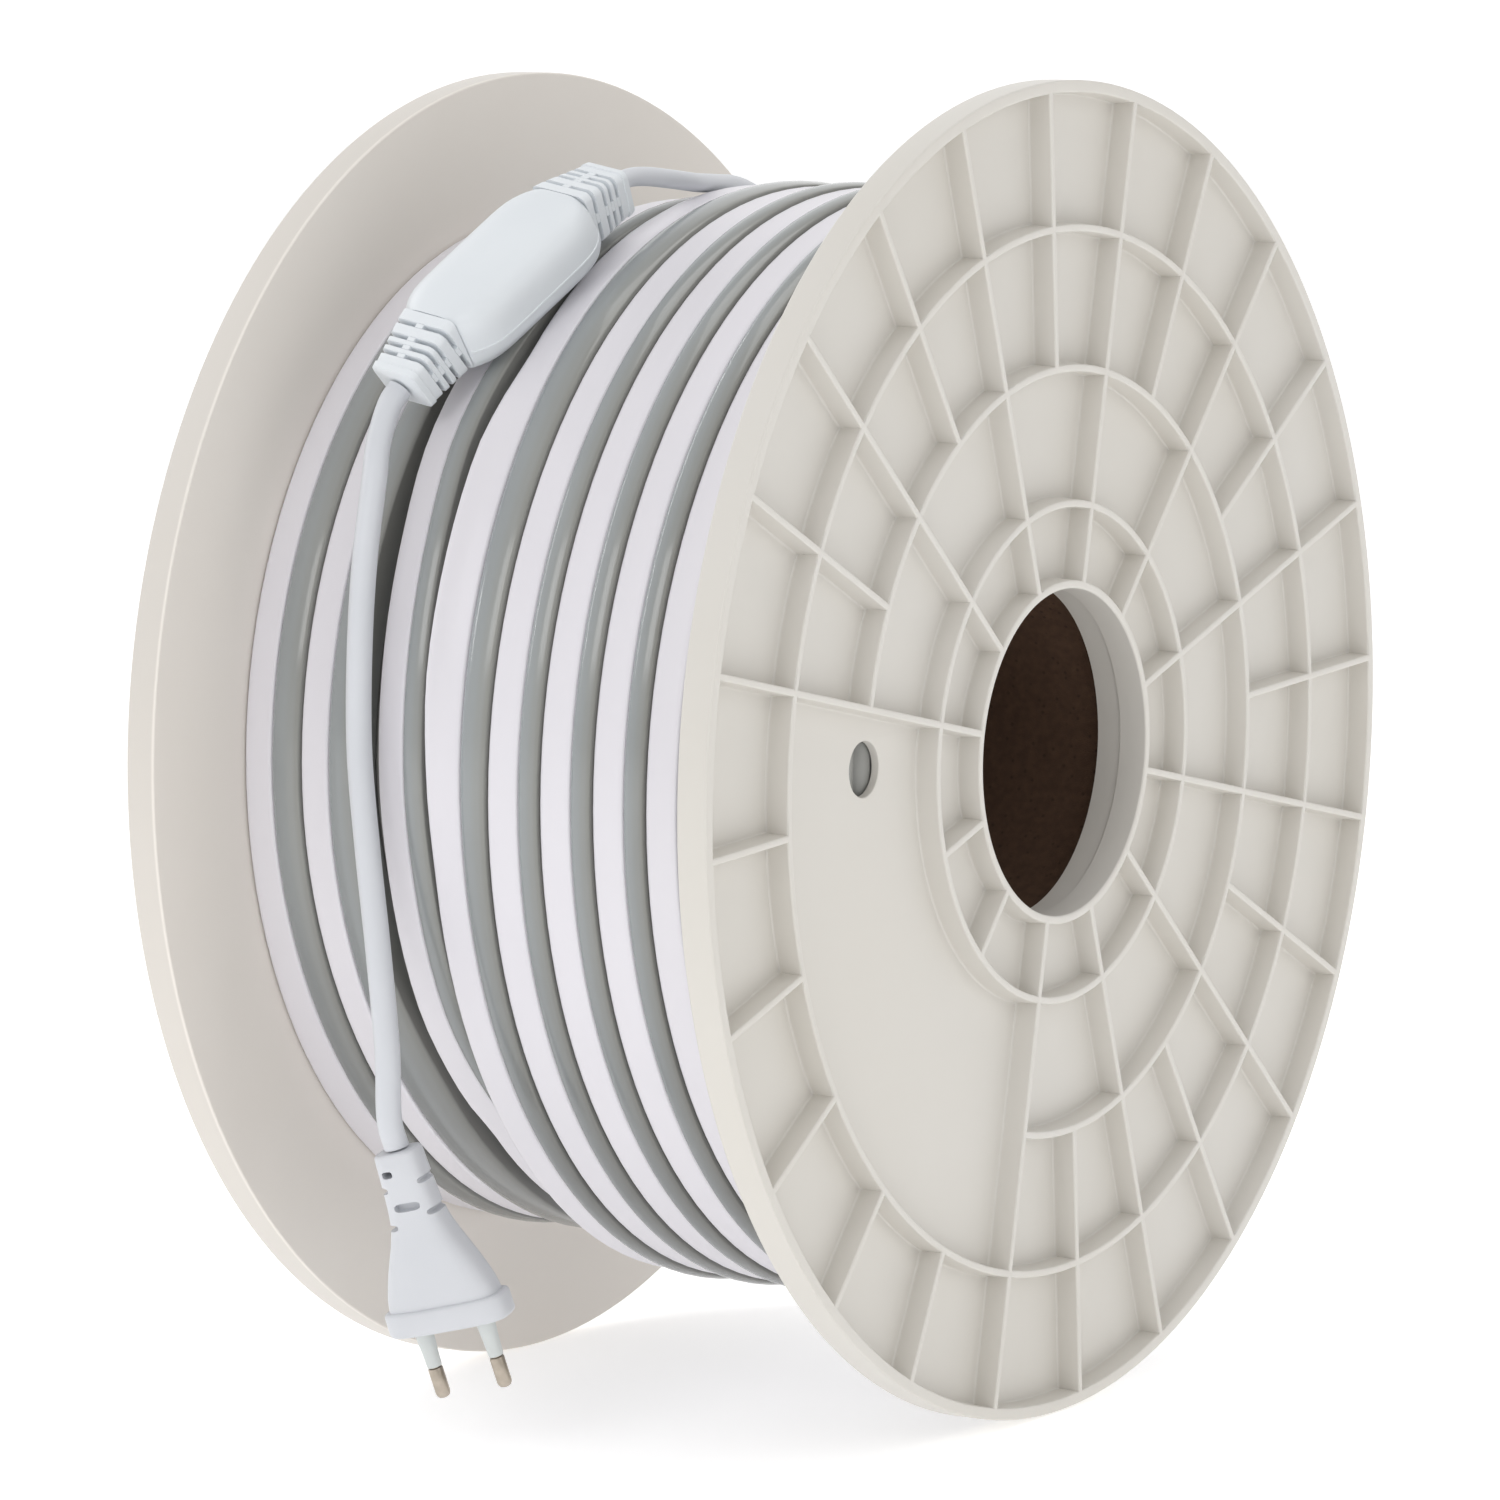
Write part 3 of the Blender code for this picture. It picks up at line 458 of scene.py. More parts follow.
def pocket_limits():
    """Each pocket's inner and outer radius, start and end angle and arc step, the plain sector's last."""
    ring = RING_WALL / 2
    outer_wall = REEL_RADIUS - RIM_WALL
    limits = []
    for k in range(360 // FINE_RIB_PITCH):
        start = FINE_RIB_START + k * FINE_RIB_PITCH
        limits.append((OUTER_RING_RADIUS + ring, outer_wall, start, start + FINE_RIB_PITCH, 2.5))
    ribbed = 360 - PLAIN_SECTOR_SPAN
    for k in range(ribbed // FINE_RIB_PITCH):
        start = PLAIN_SECTOR_END + k * FINE_RIB_PITCH
        limits.append((MIDDLE_RING_RADIUS + ring, OUTER_RING_RADIUS - ring,
                       start, start + FINE_RIB_PITCH, 2.5))
    for k in range(ribbed // COARSE_RIB_PITCH):
        start = PLAIN_SECTOR_END + k * COARSE_RIB_PITCH
        limits.append((INNER_RING_RADIUS + ring, MIDDLE_RING_RADIUS - ring,
                       start, start + COARSE_RIB_PITCH, 3.0))
    for k in range(360 // COARSE_RIB_PITCH):
        start = COARSE_RIB_START + k * COARSE_RIB_PITCH
        limits.append((BORE_RADIUS + COLLAR_WALL, INNER_RING_RADIUS - ring,
                       start, start + COARSE_RIB_PITCH, 4.0))
    limits.append((INNER_RING_RADIUS + ring, OUTER_RING_RADIUS - ring,
                   PLAIN_SECTOR_START, PLAIN_SECTOR_END, 2.5))
    return limits


def flange_mesh():
    bm = bmesh.new()
    round_edge = ((0.0, -0.0006), (0.00018, -0.00018), (0.0006, 0.0))
    rim, tube = 192, 120
    outer = [(REEL_HALF - depth, REEL_RADIUS + drop) for depth, drop in round_edge]
    outer += [(INNER_FACE + depth, REEL_RADIUS + drop) for depth, drop in reversed(round_edge)]
    outer_loops = [loop_at(bm, x, circle(radius, rim)) for x, radius in outer]
    bore = [(REEL_HALF - depth, BORE_RADIUS - drop) for depth, drop in round_edge]
    bore += [(INNER_FACE + 0.0006, BORE_RADIUS), (INNER_FACE + 0.0004, BORE_RADIUS + 0.0002),
             (INNER_FACE + 0.0003, BORE_RADIUS + 0.0006), (INNER_FACE - SPIGOT_LENGTH, BORE_RADIUS + 0.0011),
             (INNER_FACE - SPIGOT_LENGTH, SPIGOT_RADIUS), (INNER_FACE, SPIGOT_RADIUS)]
    bore_loops = [loop_at(bm, x, circle(radius, tube)) for x, radius in bore]
    join_all(bm, outer_loops)
    join_all(bm, bore_loops)
    mouths = []
    levels = [(REEL_HALF, 0.00045), (REEL_HALF - 0.00013, 0.00013), (REEL_HALF - 0.00045, 0.0),
              (WEB_FACE + 0.0007, -0.00025), (WEB_FACE + 0.0002, -0.00045), (WEB_FACE, -0.0009)]
    floors = []
    for limits in pocket_limits():
        loops = [loop_at(bm, x, pocket_outline(*limits, grow)) for x, grow in levels]
        join_all(bm, loops)
        mouths.append(loops[0])
        floors.append(loops[-1])
    centre = polar(PEG_HOLE_PLACE, PEG_HOLE_ANGLE)
    hole = []
    for x, grow in ((WEB_FACE, 0.0003), (WEB_FACE - 0.0003, 0.0), (INNER_FACE, 0.0)):
        outline = circle(PEG_HOLE_RADIUS + grow, 40)
        hole.append(loop_at(bm, x, [(centre[0] + y, centre[1] + z) for y, z in outline]))
    join_all(bm, hole)
    for floor in floors[:-1]:
        fill_between(bm, [floor])
    fill_between(bm, [floors[-1], hole[0]])
    fill_between(bm, [outer_loops[0], bore_loops[0]] + mouths)
    fill_between(bm, [outer_loops[-1], bore_loops[-1], hole[-1]])
    return finish_mesh(bm, "flange")


def make_flanges(finishes):
    mesh = flange_mesh()
    # The far flange takes the finish with painted light on its inner face
    for name, node, turn, finish in (("near_flange", "flange_near", 0.0, finishes["reel"]),
                                     ("far_flange", "flange_far", pi, finishes["painted_light_far_reel"])):
        matrix = Matrix.Translation(CENTRE) @ Matrix.Rotation(turn, 4, "Z")
        add_piece(name, mesh.copy(), finish, [node], matrix, smooth=50.0, weighted=True)


# Tube
def make_tube(finish):
    profile = [(-WINDING_HALF, CORE_BORE_RADIUS), (-WINDING_HALF, CORE_RADIUS),
               (WINDING_HALF, CORE_RADIUS), (WINDING_HALF, CORE_BORE_RADIUS)]
    mesh = revolved("wound_board_tube", profile, 120)
    add_piece("wound_board_tube", mesh, finish, ["core_tube"])


# Winding
def course_at(course, travel):
    """Values of a course at travel, on a smooth curve that doesn't overshoot its rows."""
    if travel <= course[0][0]:
        return list(course[0][1:])
    if travel >= course[-1][0]:
        return list(course[-1][1:])
    i = max(k for k in range(len(course) - 1) if course[k][0] <= travel)
    low, high = course[i], course[i + 1]
    span = high[0] - low[0]
    t = (travel - low[0]) / span
    values = []
    for c in range(1, len(low)):
        slopes = []
        for k in (i, i + 1):
            if k in (0, len(course) - 1):
                slopes.append(0.0)
                continue
            before = (course[k][c] - course[k - 1][c]) / (course[k][0] - course[k - 1][0])
            after = (course[k + 1][c] - course[k][c]) / (course[k + 1][0] - course[k][0])
            slopes.append(0.0 if before * after <= 0 else 2 * before * after / (before + after))
        values.append((2 * t ** 3 - 3 * t ** 2 + 1) * low[c] + (t ** 3 - 2 * t ** 2 + t) * span * slopes[0]
                      + (3 * t ** 2 - 2 * t ** 3) * high[c] + (t ** 3 - t ** 2) * span * slopes[1])
    return values


def turn_edge(travel):
    """Left edge of the strip, after travel degrees from the last turn's front, more towards the inside."""
    return LAST_TURN_FRONT_EDGE + TURN_PITCH * travel / 360 + course_at(STRIP_COURSE, travel)[0]


def strip_section(left, face_left, right, radius, raised=0.0, rise=1.0):
    """Corners (x, radius) over the strip, the jacket's first and then the light face's."""
    points = []
    for share, height in JACKET_SECTION:
        lift = raised * (1 - share) ** (1.5 if raised > 0 else 1.0)
        points.append((left + (face_left - left) * share, radius + height + lift))
    for share, height in FACE_SECTION:
        if height > 0:
            height *= rise
        points.append((face_left + (right - face_left) * share, radius + height))
    return points


class Skin:
    """Collects sections swept round the reel, their white faces apart from their grey ones; jacket faces
    drawn grey as painted shade go with the grey ones.
    """

    def __init__(self):
        self.points = []
        self.shares = []
        self.faces = {"jacket": [], "face": []}

    def section(self, travel, corners):
        c, s = -cos(radians(travel)), sin(radians(travel))
        start = len(self.points)
        for x, radius in corners:
            self.points.append((min(x, WINDING_HALF - CUT_INSET), radius * c, radius * s))
        self.shares += [share for share, height in JACKET_SECTION + FACE_SECTION]
        return list(range(start, len(self.points)))

    # A stretch marked all grey takes the grey face's finish on its jacket too, as painted shade
    def join(self, first, second, split, grey_as_painted_shade=False):
        for i in range(len(first) - 1):
            corners = (first[i], first[i + 1], second[i + 1], second[i])
            if min(self.points[k][0] for k in corners) > WINDING_HALF - 0.00015:
                continue
            kind = "face" if grey_as_painted_shade or i >= split else "jacket"
            self.faces[kind].append(corners)

    def mesh(self, kind):
        used = sorted({k for face in self.faces[kind] for k in face})
        place = {k: i for i, k in enumerate(used)}
        mesh = bpy.data.meshes.new("strip_" + kind)
        mesh.from_pydata([self.points[k] for k in used], [],
                         [[place[k] for k in face] for face in self.faces[kind]])
        across = mesh.uv_layers.new(name="across")
        for loop in mesh.loops:
            across.data[loop.index].uv = (self.shares[used[loop.vertex_index]], 0.5)
        bm = bmesh.new()
        bm.from_mesh(mesh)
        bmesh.ops.remove_doubles(bm, verts=bm.verts[:], dist=0.000005)
        bmesh.ops.dissolve_degenerate(bm, edges=bm.edges[:], dist=0.000002)
        bm.to_mesh(mesh)
        bm.free()
        return mesh


def sweep_outer_turns(skin):
    """The strip's outermost layer, from its free end to the near flange, as one continuous length."""
    travel = STRIP_END_ANGLE - 360
    last = None
    while turn_edge(travel) < WINDING_HALF - 5 * CUT_INSET:
        sunk, raised = course_at(STRIP_COURSE, travel)[1:]
        left = turn_edge(travel)
        right = left + STRIP_WIDTH
        if travel > WIDENED_FROM:
            right = max(right, turn_edge(travel + 360) - TURN_GAP)
        corners = strip_section(left, left + JACKET_WIDTH, right, UPPER_RADIUS - sunk, raised)
        ring = skin.section(travel, corners)
        if last is None:
            skin.faces["jacket"].append(tuple(ring[:JACKET_COUNT][::-1]))
            skin.faces["face"].append(tuple(ring[JACKET_COUNT:][::-1]))
        else:
            skin.join(last, ring, JACKET_COUNT)
        last = ring
        travel += TURN_STEP


def around(travel):
    """The same direction, as travel between the last turn's two ends."""
    return (travel - STRIP_END_ANGLE) % 360 + STRIP_END_ANGLE - 360


def sweep_ring(skin, section_at, painted_shade_at=None):
    """A closed turn whose section may change on its way round; where the given test says so, all of it is
    drawn with the grey face's finish as painted shade.
    """
    rings = [skin.section(travel, section_at(travel)) for travel in range(0, 360, TURN_STEP)]
    for i, ring in enumerate(rings):
        grey = painted_shade_at is not None and painted_shade_at(i * TURN_STEP)
        skin.join(ring, rings[(i + 1) % len(rings)], JACKET_COUNT, grey)


def lower_drift(travel):
    """How far the lower turns have drifted from the far flange, low on the front."""
    return course_at(LOWER_DRIFT_COURSE, around(travel))[0]


def first_lower_turn(travel):
    drift = lower_drift(travel)
    right = LOWER_TURN_EDGE - CUT_INSET + drift
    return strip_section(-WINDING_HALF, FIRST_LOWER_FACE + drift, right, LOWER_RADIUS)


def second_lower_turn(travel):
    drift = lower_drift(travel)
    slot_left = course_at(SLOT_COURSE, around(travel))[0]
    left = LOWER_TURN_EDGE + CUT_INSET + drift
    return strip_section(left, SECOND_LOWER_FACE + drift, slot_left, LOWER_RADIUS)


def buried_depth(travel):
    """Depth of the turn under the slot, as a share of a layer: down under the last turn and in the slot."""
    place = around(travel)
    if place <= SLOT_OPENS:
        return course_at(STRIP_COURSE, place)[1] / LAYER_HEIGHT
    return course_at(BURIED_COURSE, place)[0]


def buried_turn(travel):
    """The turn that shows in the slot beside the last turn, one layer down."""
    place = around(travel)
    left = course_at(SLOT_COURSE, place)[0] + 0.0002
    right = left + STRIP_WIDTH
    if place > SLOT_CLOSES:
        right = max(right, turn_edge(place) - TURN_GAP)
    radius = LOWER_RADIUS - CUT_INSET - LAYER_HEIGHT * buried_depth(travel)
    return strip_section(left, left + JACKET_WIDTH, right, radius, rise=0.15)


def inner_layers_mesh():
    """The layers under the outermost two, whose turns show on the winding's ends."""
    left_side = ((0.02, 0.0012), (0.10, 0.0004), (0.25, 0.0), (0.75, 0.0), (0.90, 0.0004), (0.98, 0.0012))
    right_side = ((0.0, 0.0030), (0.08, 0.0014), (0.22, 0.0004), (0.5, 0.0), (0.78, 0.0004), (0.92, 0.0014))
    left_end, right_end = [], []
    for layer in range(FULL_LAYERS):
        foot = WINDING_BORE_RADIUS + layer * LAYER_HEIGHT
        if layer < FULL_LAYERS - 1:
            for share, inset in left_side:
                left_end.append((-WINDING_HALF + CUT_INSET + inset * 0.6, foot + LAYER_HEIGHT * share))
        for share, inset in right_side:
            right_end.append((WINDING_HALF - CUT_INSET - inset, foot + LAYER_HEIGHT * share))
    bm = bmesh.new()
    rings = []
    high = LOWER_RADIUS - TURN_GAP
    low = LOWER_RADIUS - LAYER_HEIGHT - TURN_GAP
    for travel in range(0, 360, 5):
        edge = turn_edge(around(travel) + 360) + 0.001
        middle = [(-WINDING_HALF + 0.001, low), (edge, low), (edge, high), (WINDING_HALF - 0.0035, high)]
        c, s = -cos(radians(travel)), sin(radians(travel))
        profile = left_end + middle + right_end[::-1]
        rings.append([bm.verts.new((x, radius * c, radius * s)) for x, radius in profile])
    for i, ring in enumerate(rings):
        join_loops(bm, ring, rings[(i + 1) % len(rings)])
    return finish_mesh(bm, "inner_layers")


def make_winding(finishes):
    skin = Skin()
    sweep_outer_turns(skin)
    sweep_ring(skin, first_lower_turn)
    sweep_ring(skin, second_lower_turn)
    # Deep in the slot the buried turn is drawn all grey, its white jacket included, as painted shade
    sweep_ring(skin, buried_turn, lambda travel: buried_depth(travel) > 0.3)
    add_piece("strip_white_jacket", skin.mesh("jacket"), finishes["jacket"],
              ["strip_winding"], smooth=60.0)
    add_piece("strip_grey_face_with_painted_shade", skin.mesh("face"), finishes["face"],
              ["strip_winding"], smooth=60.0)
    add_piece("strip_inner_layers", inner_layers_mesh(), finishes["ends"],
              ["strip_winding"])


# Rectifier
def rectifier_frame():
    """Middle of the rectifier, the way out from the reel and the way along it."""
    angle, yaw = radians(RECTIFIER_ANGLE), radians(RECTIFIER_YAW)
    outward = Vector((0, -cos(angle), sin(angle)))
    along = Vector((sin(yaw), cos(yaw) * sin(angle), cos(yaw) * cos(angle)))
    middle = CENTRE + Vector((RECTIFIER_PLACE, 0, 0))
    middle += outward * (UPPER_RADIUS + DOME_RISE + SEAT_GAP + RECTIFIER_THICKNESS / 2)
    return middle, outward, along


def relief_frame(end):
    """Foot of the relief at one end of the rectifier, the way along it and its side."""
    middle, outward, along = rectifier_frame()
    bend = radians(RELIEF_BEND)
    direction = along * end * cos(bend) - outward * sin(bend)
    base = middle + along * end * (RECTIFIER_LENGTH / 2 + SEAT_GAP)
    return base, direction.normalized(), along.cross(outward)


def lozenge_outline(width, thickness, full):
    """Section of the rectifier: a domed top, a parting ridge low on its sides, a narrower underside."""
    half, top = width / 2, thickness / 2
    ridge = -0.16 * thickness
    side = []
    for k in range(15):
        angle = pi / 2 * k / 14
        side.append((half * sin(angle) ** 0.50, ridge + 0.0004 + (top - ridge - 0.0004) * cos(angle) ** 0.58))
    side += [(half + 0.00025, ridge + 0.00028), (half + 0.00025, ridge - 0.00012),
             (half - 0.0004, ridge - 0.0005)]
    under = 0.86 - 0.06 * full
    side += [(half * (0.97 - 0.02 * full), -top * 0.62), (half * under, -top * 0.93),
             (half * (under - 0.08), -top)]
    points = side + [(-x, y) for x, y in reversed(side[1:])]
    return [(x, -y) for x, y in points]


def make_rectifier(finishes):
    middle, outward, along = rectifier_frame()
    neck = (RELIEF_BASE[0] + 0.0012, RELIEF_BASE[1] + 0.0004)
    stations = []
    shares = ((0.0, 0.04), (0.006, 0.12), (0.018, 0.24), (0.040, 0.42), (0.070, 0.61), (0.105, 0.77),
              (0.145, 0.89), (0.19, 0.96), (0.25, 0.99), (0.32, 1.0), (0.46, 1.0))
    for share, full in shares:
        width = neck[0] + (RECTIFIER_WIDTH - 0.0005 - neck[0]) * full
        thickness = neck[1] + (RECTIFIER_THICKNESS - 0.0001 - neck[1]) * full
        stations.append(((share - 0.5) * RECTIFIER_LENGTH, lozenge_outline(width, thickness, full)))
    stations += [(-height, outline) for height, outline in reversed(stations)]
    mesh = loft_mesh("rectifier_shell", stations)
    add_piece("rectifier_shell", mesh, finishes["rectifier"],
              ["rectifier_body"], placed(middle, along.cross(outward), along), smooth=42.0)
    for name, node, end in (("supply_relief", "relief_supply", -1), ("output_relief", "relief_output", 1)):
        base, direction, side = relief_frame(end)
        add_piece(name, relief_mesh(name, end), finishes["relief"], [node],
                  placed(base, side, direction), smooth=40.0)


def relief_outline(width, depth, cut, spine, radius=0.0022):
    """Rounded rectangle; cut sinks all of it but a spine in the middle of each side."""
    points = []
    for quarter in range(4):
        half, other = (width / 2, depth / 2) if quarter % 2 == 0 else (depth / 2, width / 2)
        corner = [(half, -spine * 0.5), (half, 0.0), (half, spine * 0.5),
                  (half - cut, spine * 0.5 + 0.00005)]
        low, high = half - cut - radius, other - cut - radius
        corner.append((half - cut, high))
        for k in range(1, 5):
            angle = pi / 2 * k / 5
            corner.append((low + radius * cos(angle), high + radius * sin(angle)))
        corner.append((low, other - cut))
        corner.append((spine * 0.5 + 0.00005, other - cut))
        turn = quarter * pi / 2
        points += [(x * cos(turn) - y * sin(turn), x * sin(turn) + y * cos(turn)) for x, y in corner]
    return points


def relief_mesh(name, end):
    """Tapered relief with four rows of slots, its foot cut at a slant to meet the rectifier."""
    spine = 0.0026
    slots = ((0.0016, 0.0029), (0.0058, 0.0070), (0.0084, 0.0096), (0.0110, 0.0122))
    heights = [(0.0, 0.0)]
    for low, high in slots:
        heights += [(low - 0.0001, 0.0), (low, 0.0002), (low + 0.00005, 0.0024), (high - 0.00005, 0.0024),
                    (high, 0.0002), (high + 0.0001, 0.0)]
    heights += [(0.0148, 0.0), (0.0150, -0.0003), (RELIEF_LENGTH - 0.0003, -0.0003), (RELIEF_LENGTH, 0.0001)]
    stations = []
    for height, cut in heights:
        share = height / RELIEF_LENGTH
        width = RELIEF_BASE[0] + (RELIEF_END[0] - 0.0006 - RELIEF_BASE[0]) * share
        depth = RELIEF_BASE[1] + (RELIEF_END[1] - 0.0006 - RELIEF_BASE[1]) * share
        if cut <= 0.0002:
            outline = relief_outline(width - 2 * cut, depth - 2 * cut, 0.0, spine)
        else:
            outline = relief_outline(width, depth, cut, spine)
        stations.append((height, outline))
    mesh = loft_mesh(name, stations)
    for vertex in mesh.vertices:
        if vertex.co.z == 0:
            vertex.co.z = end * vertex.co.y * tan(radians(RELIEF_BEND))
    return mesh


# Connector on the strip's end
def rounded_outline(width, depth, facets=40, squareness=3.5):
    """Closed outline between an ellipse and a rectangle, squarer for a larger squareness."""
    points = []
    for k in range(facets):
        angle = 2 * pi * (k + 0.5) / facets
        c, s = cos(angle), sin(angle)
        reach = (abs(c) ** squareness + abs(s) ** squareness) ** (-1 / squareness)
        points.append((width / 2 * reach * c, depth / 2 * reach * s))
    return points


def make_connector(finish):
    half_turn = atan2(CONNECTOR_LENGTH / 2 + SEAT_GAP, LOWER_RADIUS + SEAT_GAP)
    angle = radians(STRIP_END_ANGLE) - half_turn
    outward = Vector((0, -cos(angle), sin(angle)))
    along = Vector((0, sin(angle), cos(angle)))
    left = turn_edge(STRIP_END_ANGLE - 360)
    reach = LOWER_RADIUS + SEAT_GAP + CONNECTOR_HEIGHT / 2
    middle = CENTRE + Vector((left + STRIP_WIDTH / 2 - SEAT_GAP, 0, 0)) + outward * reach
    half = CONNECTOR_LENGTH / 2
    rows = ((0.0, 0.84), (0.0004, 0.92), (0.0012, 0.975), (0.0026, 1.0), (0.0092, 1.0), (0.0094, 0.965),
            (0.0100, 0.965), (0.0102, 1.0), (0.0112, 1.0), (0.0114, 0.965), (0.0120, 0.965), (0.0122, 1.0),
            (2 * half - 0.0012, 1.0), (2 * half - 0.0003, 0.96), (2 * half, 0.92))
    stations = [(-half + height, rounded_outline(CONNECTOR_WIDTH * scale, CONNECTOR_HEIGHT * scale, 48, 5.0))
                for height, scale in rows]
    add_piece("strip_end_connector", loft_mesh("strip_end_connector", stations), finish,
              ["strip_connector"], placed(middle, along.cross(outward), along), smooth=42.0)


# Cords
def smooth_route(points, step):
    """Smooth curve through the route's points, in pieces about a step long."""
    points = [Vector(p) for p in points]
    ends = [points[0] * 2 - points[1]] + points + [points[-1] * 2 - points[-2]]
    route = []
    for a, b, c, d in zip(ends, ends[1:], ends[2:], ends[3:]):
        steps = max(1, round((c - b).length / step))
        for k in range(steps):
            t = k / steps
            route.append(0.5 * (2 * b + (c - a) * t + (2 * a - 5 * b + 4 * c - d) * t * t
                                + (3 * b - a - 3 * c + d) * t ** 3))
    return route + [points[-1]]


def make_cord(name, node, route, diameter, finish):
    """A sheathed cord along its route; returns it with its length and the point where it starts."""
    points = [CENTRE + point for point in smooth_route(route, 0.0015)]
    curve = bpy.data.curves.new(name, "CURVE")
    curve.dimensions = "3D"
    spline = curve.splines.new("POLY")
    spline.points.add(len(points) - 1)
    for point, place in zip(spline.points, points):
        point.co = (*place, 1.0)
    spline.use_smooth = True
    curve.bevel_depth = diameter / 2
    curve.bevel_resolution = 6
    curve.use_fill_caps = True
    curve.materials.append(finish)
    cord = bpy.data.objects.new(name, curve)
    bpy.context.scene.collection.objects.link(cord)
    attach(cord, "root")
    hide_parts(node)
    length = sum((b - a).length for a, b in zip(points, points[1:]))
    return cord, length, tuple(points[0])


# Plug
def plug_frame():
    """Place of the plug's face, with X along its wide side and Z towards the cord."""
    across = Vector((cos(radians(PLUG_LEAN)), 0, sin(radians(PLUG_LEAN))))
    upright = Vector((-sin(radians(PLUG_LEAN)), 0, cos(radians(PLUG_LEAN))))
    up = Matrix.Rotation(radians(PLUG_TILT), 3, across) @ upright
    side = Matrix.Rotation(radians(PLUG_TURN), 3, up) @ across
    return placed(CENTRE + Vector(PLUG_FACE), side, up)


def slot_cutter(left, right, low, high, front, back):
    """Rounded bar along Y that cuts from front to back, between two sides and two heights."""
    bm = bmesh.new()
    loops = []
    for y in (front, back):
        corners = rounded_outline(right - left, high - low, 28, 3.5)
        loops.append([bm.verts.new(((left + right) / 2 + x, y, (low + high) / 2 + z)) for x, z in corners])
    join_all(bm, loops)
    bm.faces.new(loops[0])
    bm.faces.new(loops[-1])
    return finish_mesh(bm, "slot_cutter")


def cut_away(mesh, cutters):
    """The mesh with every cutter taken out of it."""
    bm = bmesh.new()
    for cutter in cutters:
        bm.from_mesh(cutter)
        bpy.data.meshes.remove(cutter)
    joined = bpy.data.meshes.new("cutters")
    bm.to_mesh(joined)
    bm.free()
    tool = bpy.data.objects.new("cutters", joined)
    body = bpy.data.objects.new("body", mesh)
    for thing in (tool, body):
        bpy.context.scene.collection.objects.link(thing)
    cut = body.modifiers.new("cut", "BOOLEAN")
    cut.operation = "DIFFERENCE"
    cut.solver = "EXACT"
    cut.object = tool
    bpy.context.view_layer.update()
    result = bpy.data.meshes.new_from_object(body.evaluated_get(bpy.context.evaluated_depsgraph_get()))
    for thing in (tool, body):
        bpy.data.objects.remove(thing)
    bpy.data.meshes.remove(joined)
    return result


def plug_mesh():
    """Flat plug up Z: the face's slab, the flared grip and the relief, all in one moulding."""
    base = PLUG_BASE_HEIGHT
    rows = [(0.0, 0.955, 0.88), (0.0004, 0.985, 0.96), (0.0011, 1.0, 1.0), (base - 0.0009, 1.0, 1.0),
            (base - 0.0003, 0.985, 0.97), (base, 0.955, 0.90), (base + 0.00005, 0.900, 0.86),
            (0.0080, 0.890, 0.885), (0.0105, 0.860, 0.90), (0.0140, 0.790, 0.90), (0.0175, 0.710, 0.885),
            (0.0210, 0.620, 0.855), (0.0245, 0.530, 0.815), (0.0275, 0.465, 0.775), (0.0300, 0.425, 0.745),
            (0.0330, 0.400, 0.720), (0.0370, 0.382, 0.700), (0.0420, 0.365, 0.685),
            (PLUG_LENGTH - 0.0009, 0.350, 0.670), (PLUG_LENGTH - 0.0003, 0.340, 0.650),
            (PLUG_LENGTH, 0.320, 0.600)]
    stations = [(height, rounded_outline(PLUG_WIDTH * wide, PLUG_DEPTH * deep, 44, 3.6))
                for height, wide, deep in rows]
    body = loft_mesh("plug_shell", stations)
    through = PLUG_DEPTH
    cutters = [slot_cutter(-0.0120, -0.0040, 0.0385, 0.0405, -through, through),
               slot_cutter(-0.0120, -0.0042, 0.0285, 0.0303, -through, through),
               slot_cutter(0.0050, 0.0110, 0.0398, 0.0416, -through, through),
               slot_cutter(0.0052, 0.0120, 0.0312, 0.0330, -through, through),
               slot_cutter(-0.0043, -0.0012, 0.0428, 0.0447, -through, through)]
    for front, back in ((-through, -0.0026), (0.0026, through)):
        cutters.append(slot_cutter(-0.0036, 0.0040, 0.0334, 0.0357, front, back))
    return cut_away(body, cutters)


def turned_mesh(name, profile, facets=28):
    """Solid of revolution round Z, pointing down, from (radius, depth) corners; its ends are closed."""
    bm = bmesh.new()
    loops = [[bm.verts.new((x, y, -depth)) for x, y in circle(radius, facets)] for radius, depth in profile]
    join_all(bm, loops)
    bm.faces.new(loops[0])
    bm.faces.new(loops[-1])
    return finish_mesh(bm, name)


def make_plug(finishes):
    """Plug, pins and sleeves, as the list of pieces that hang on the supply cord."""
    place = plug_frame()
    pieces = [add_piece("plug_shell", plug_mesh(), finishes["plug"],
                        ["plug_body"], place, smooth=42.0)]
    tip = PIN_LENGTH
    pin = [(0.0013, SEAT_GAP), (0.0013, PIN_SLEEVE_LENGTH + 2 * SEAT_GAP), (PIN_RADIUS - 0.0001, 0.0107),
           (PIN_RADIUS, 0.0110), (PIN_RADIUS, tip - 0.0016), (PIN_RADIUS * 0.93, tip - 0.0009),
           (PIN_RADIUS * 0.74, tip - 0.0003), (PIN_RADIUS * 0.42, tip)]
    sleeve = [(PIN_RADIUS + SLEEVE_FLARE, SEAT_GAP), (PIN_RADIUS + SLEEVE_FLARE * 0.7, 0.0022),
              (PIN_RADIUS + SLEEVE_FLARE * 0.25, 0.0060), (PIN_RADIUS + 0.00002, 0.0098),
              (PIN_RADIUS - 0.0001, PIN_SLEEVE_LENGTH + SEAT_GAP)]
    for side, name in ((-1, "left"), (1, "right")):
        where = place @ Matrix.Translation((side * PIN_SPACING / 2, 0, 0))
        pieces.append(add_piece("metal_pin_" + name, turned_mesh("metal_pin", pin), finishes["metal"],
                                ["pin_" + name], where))
        pieces.append(add_piece("sleeve_" + name, turned_mesh("sleeve", sleeve), finishes["sleeve"],
                                ["pin_sleeve_" + name], where))
    return pieces


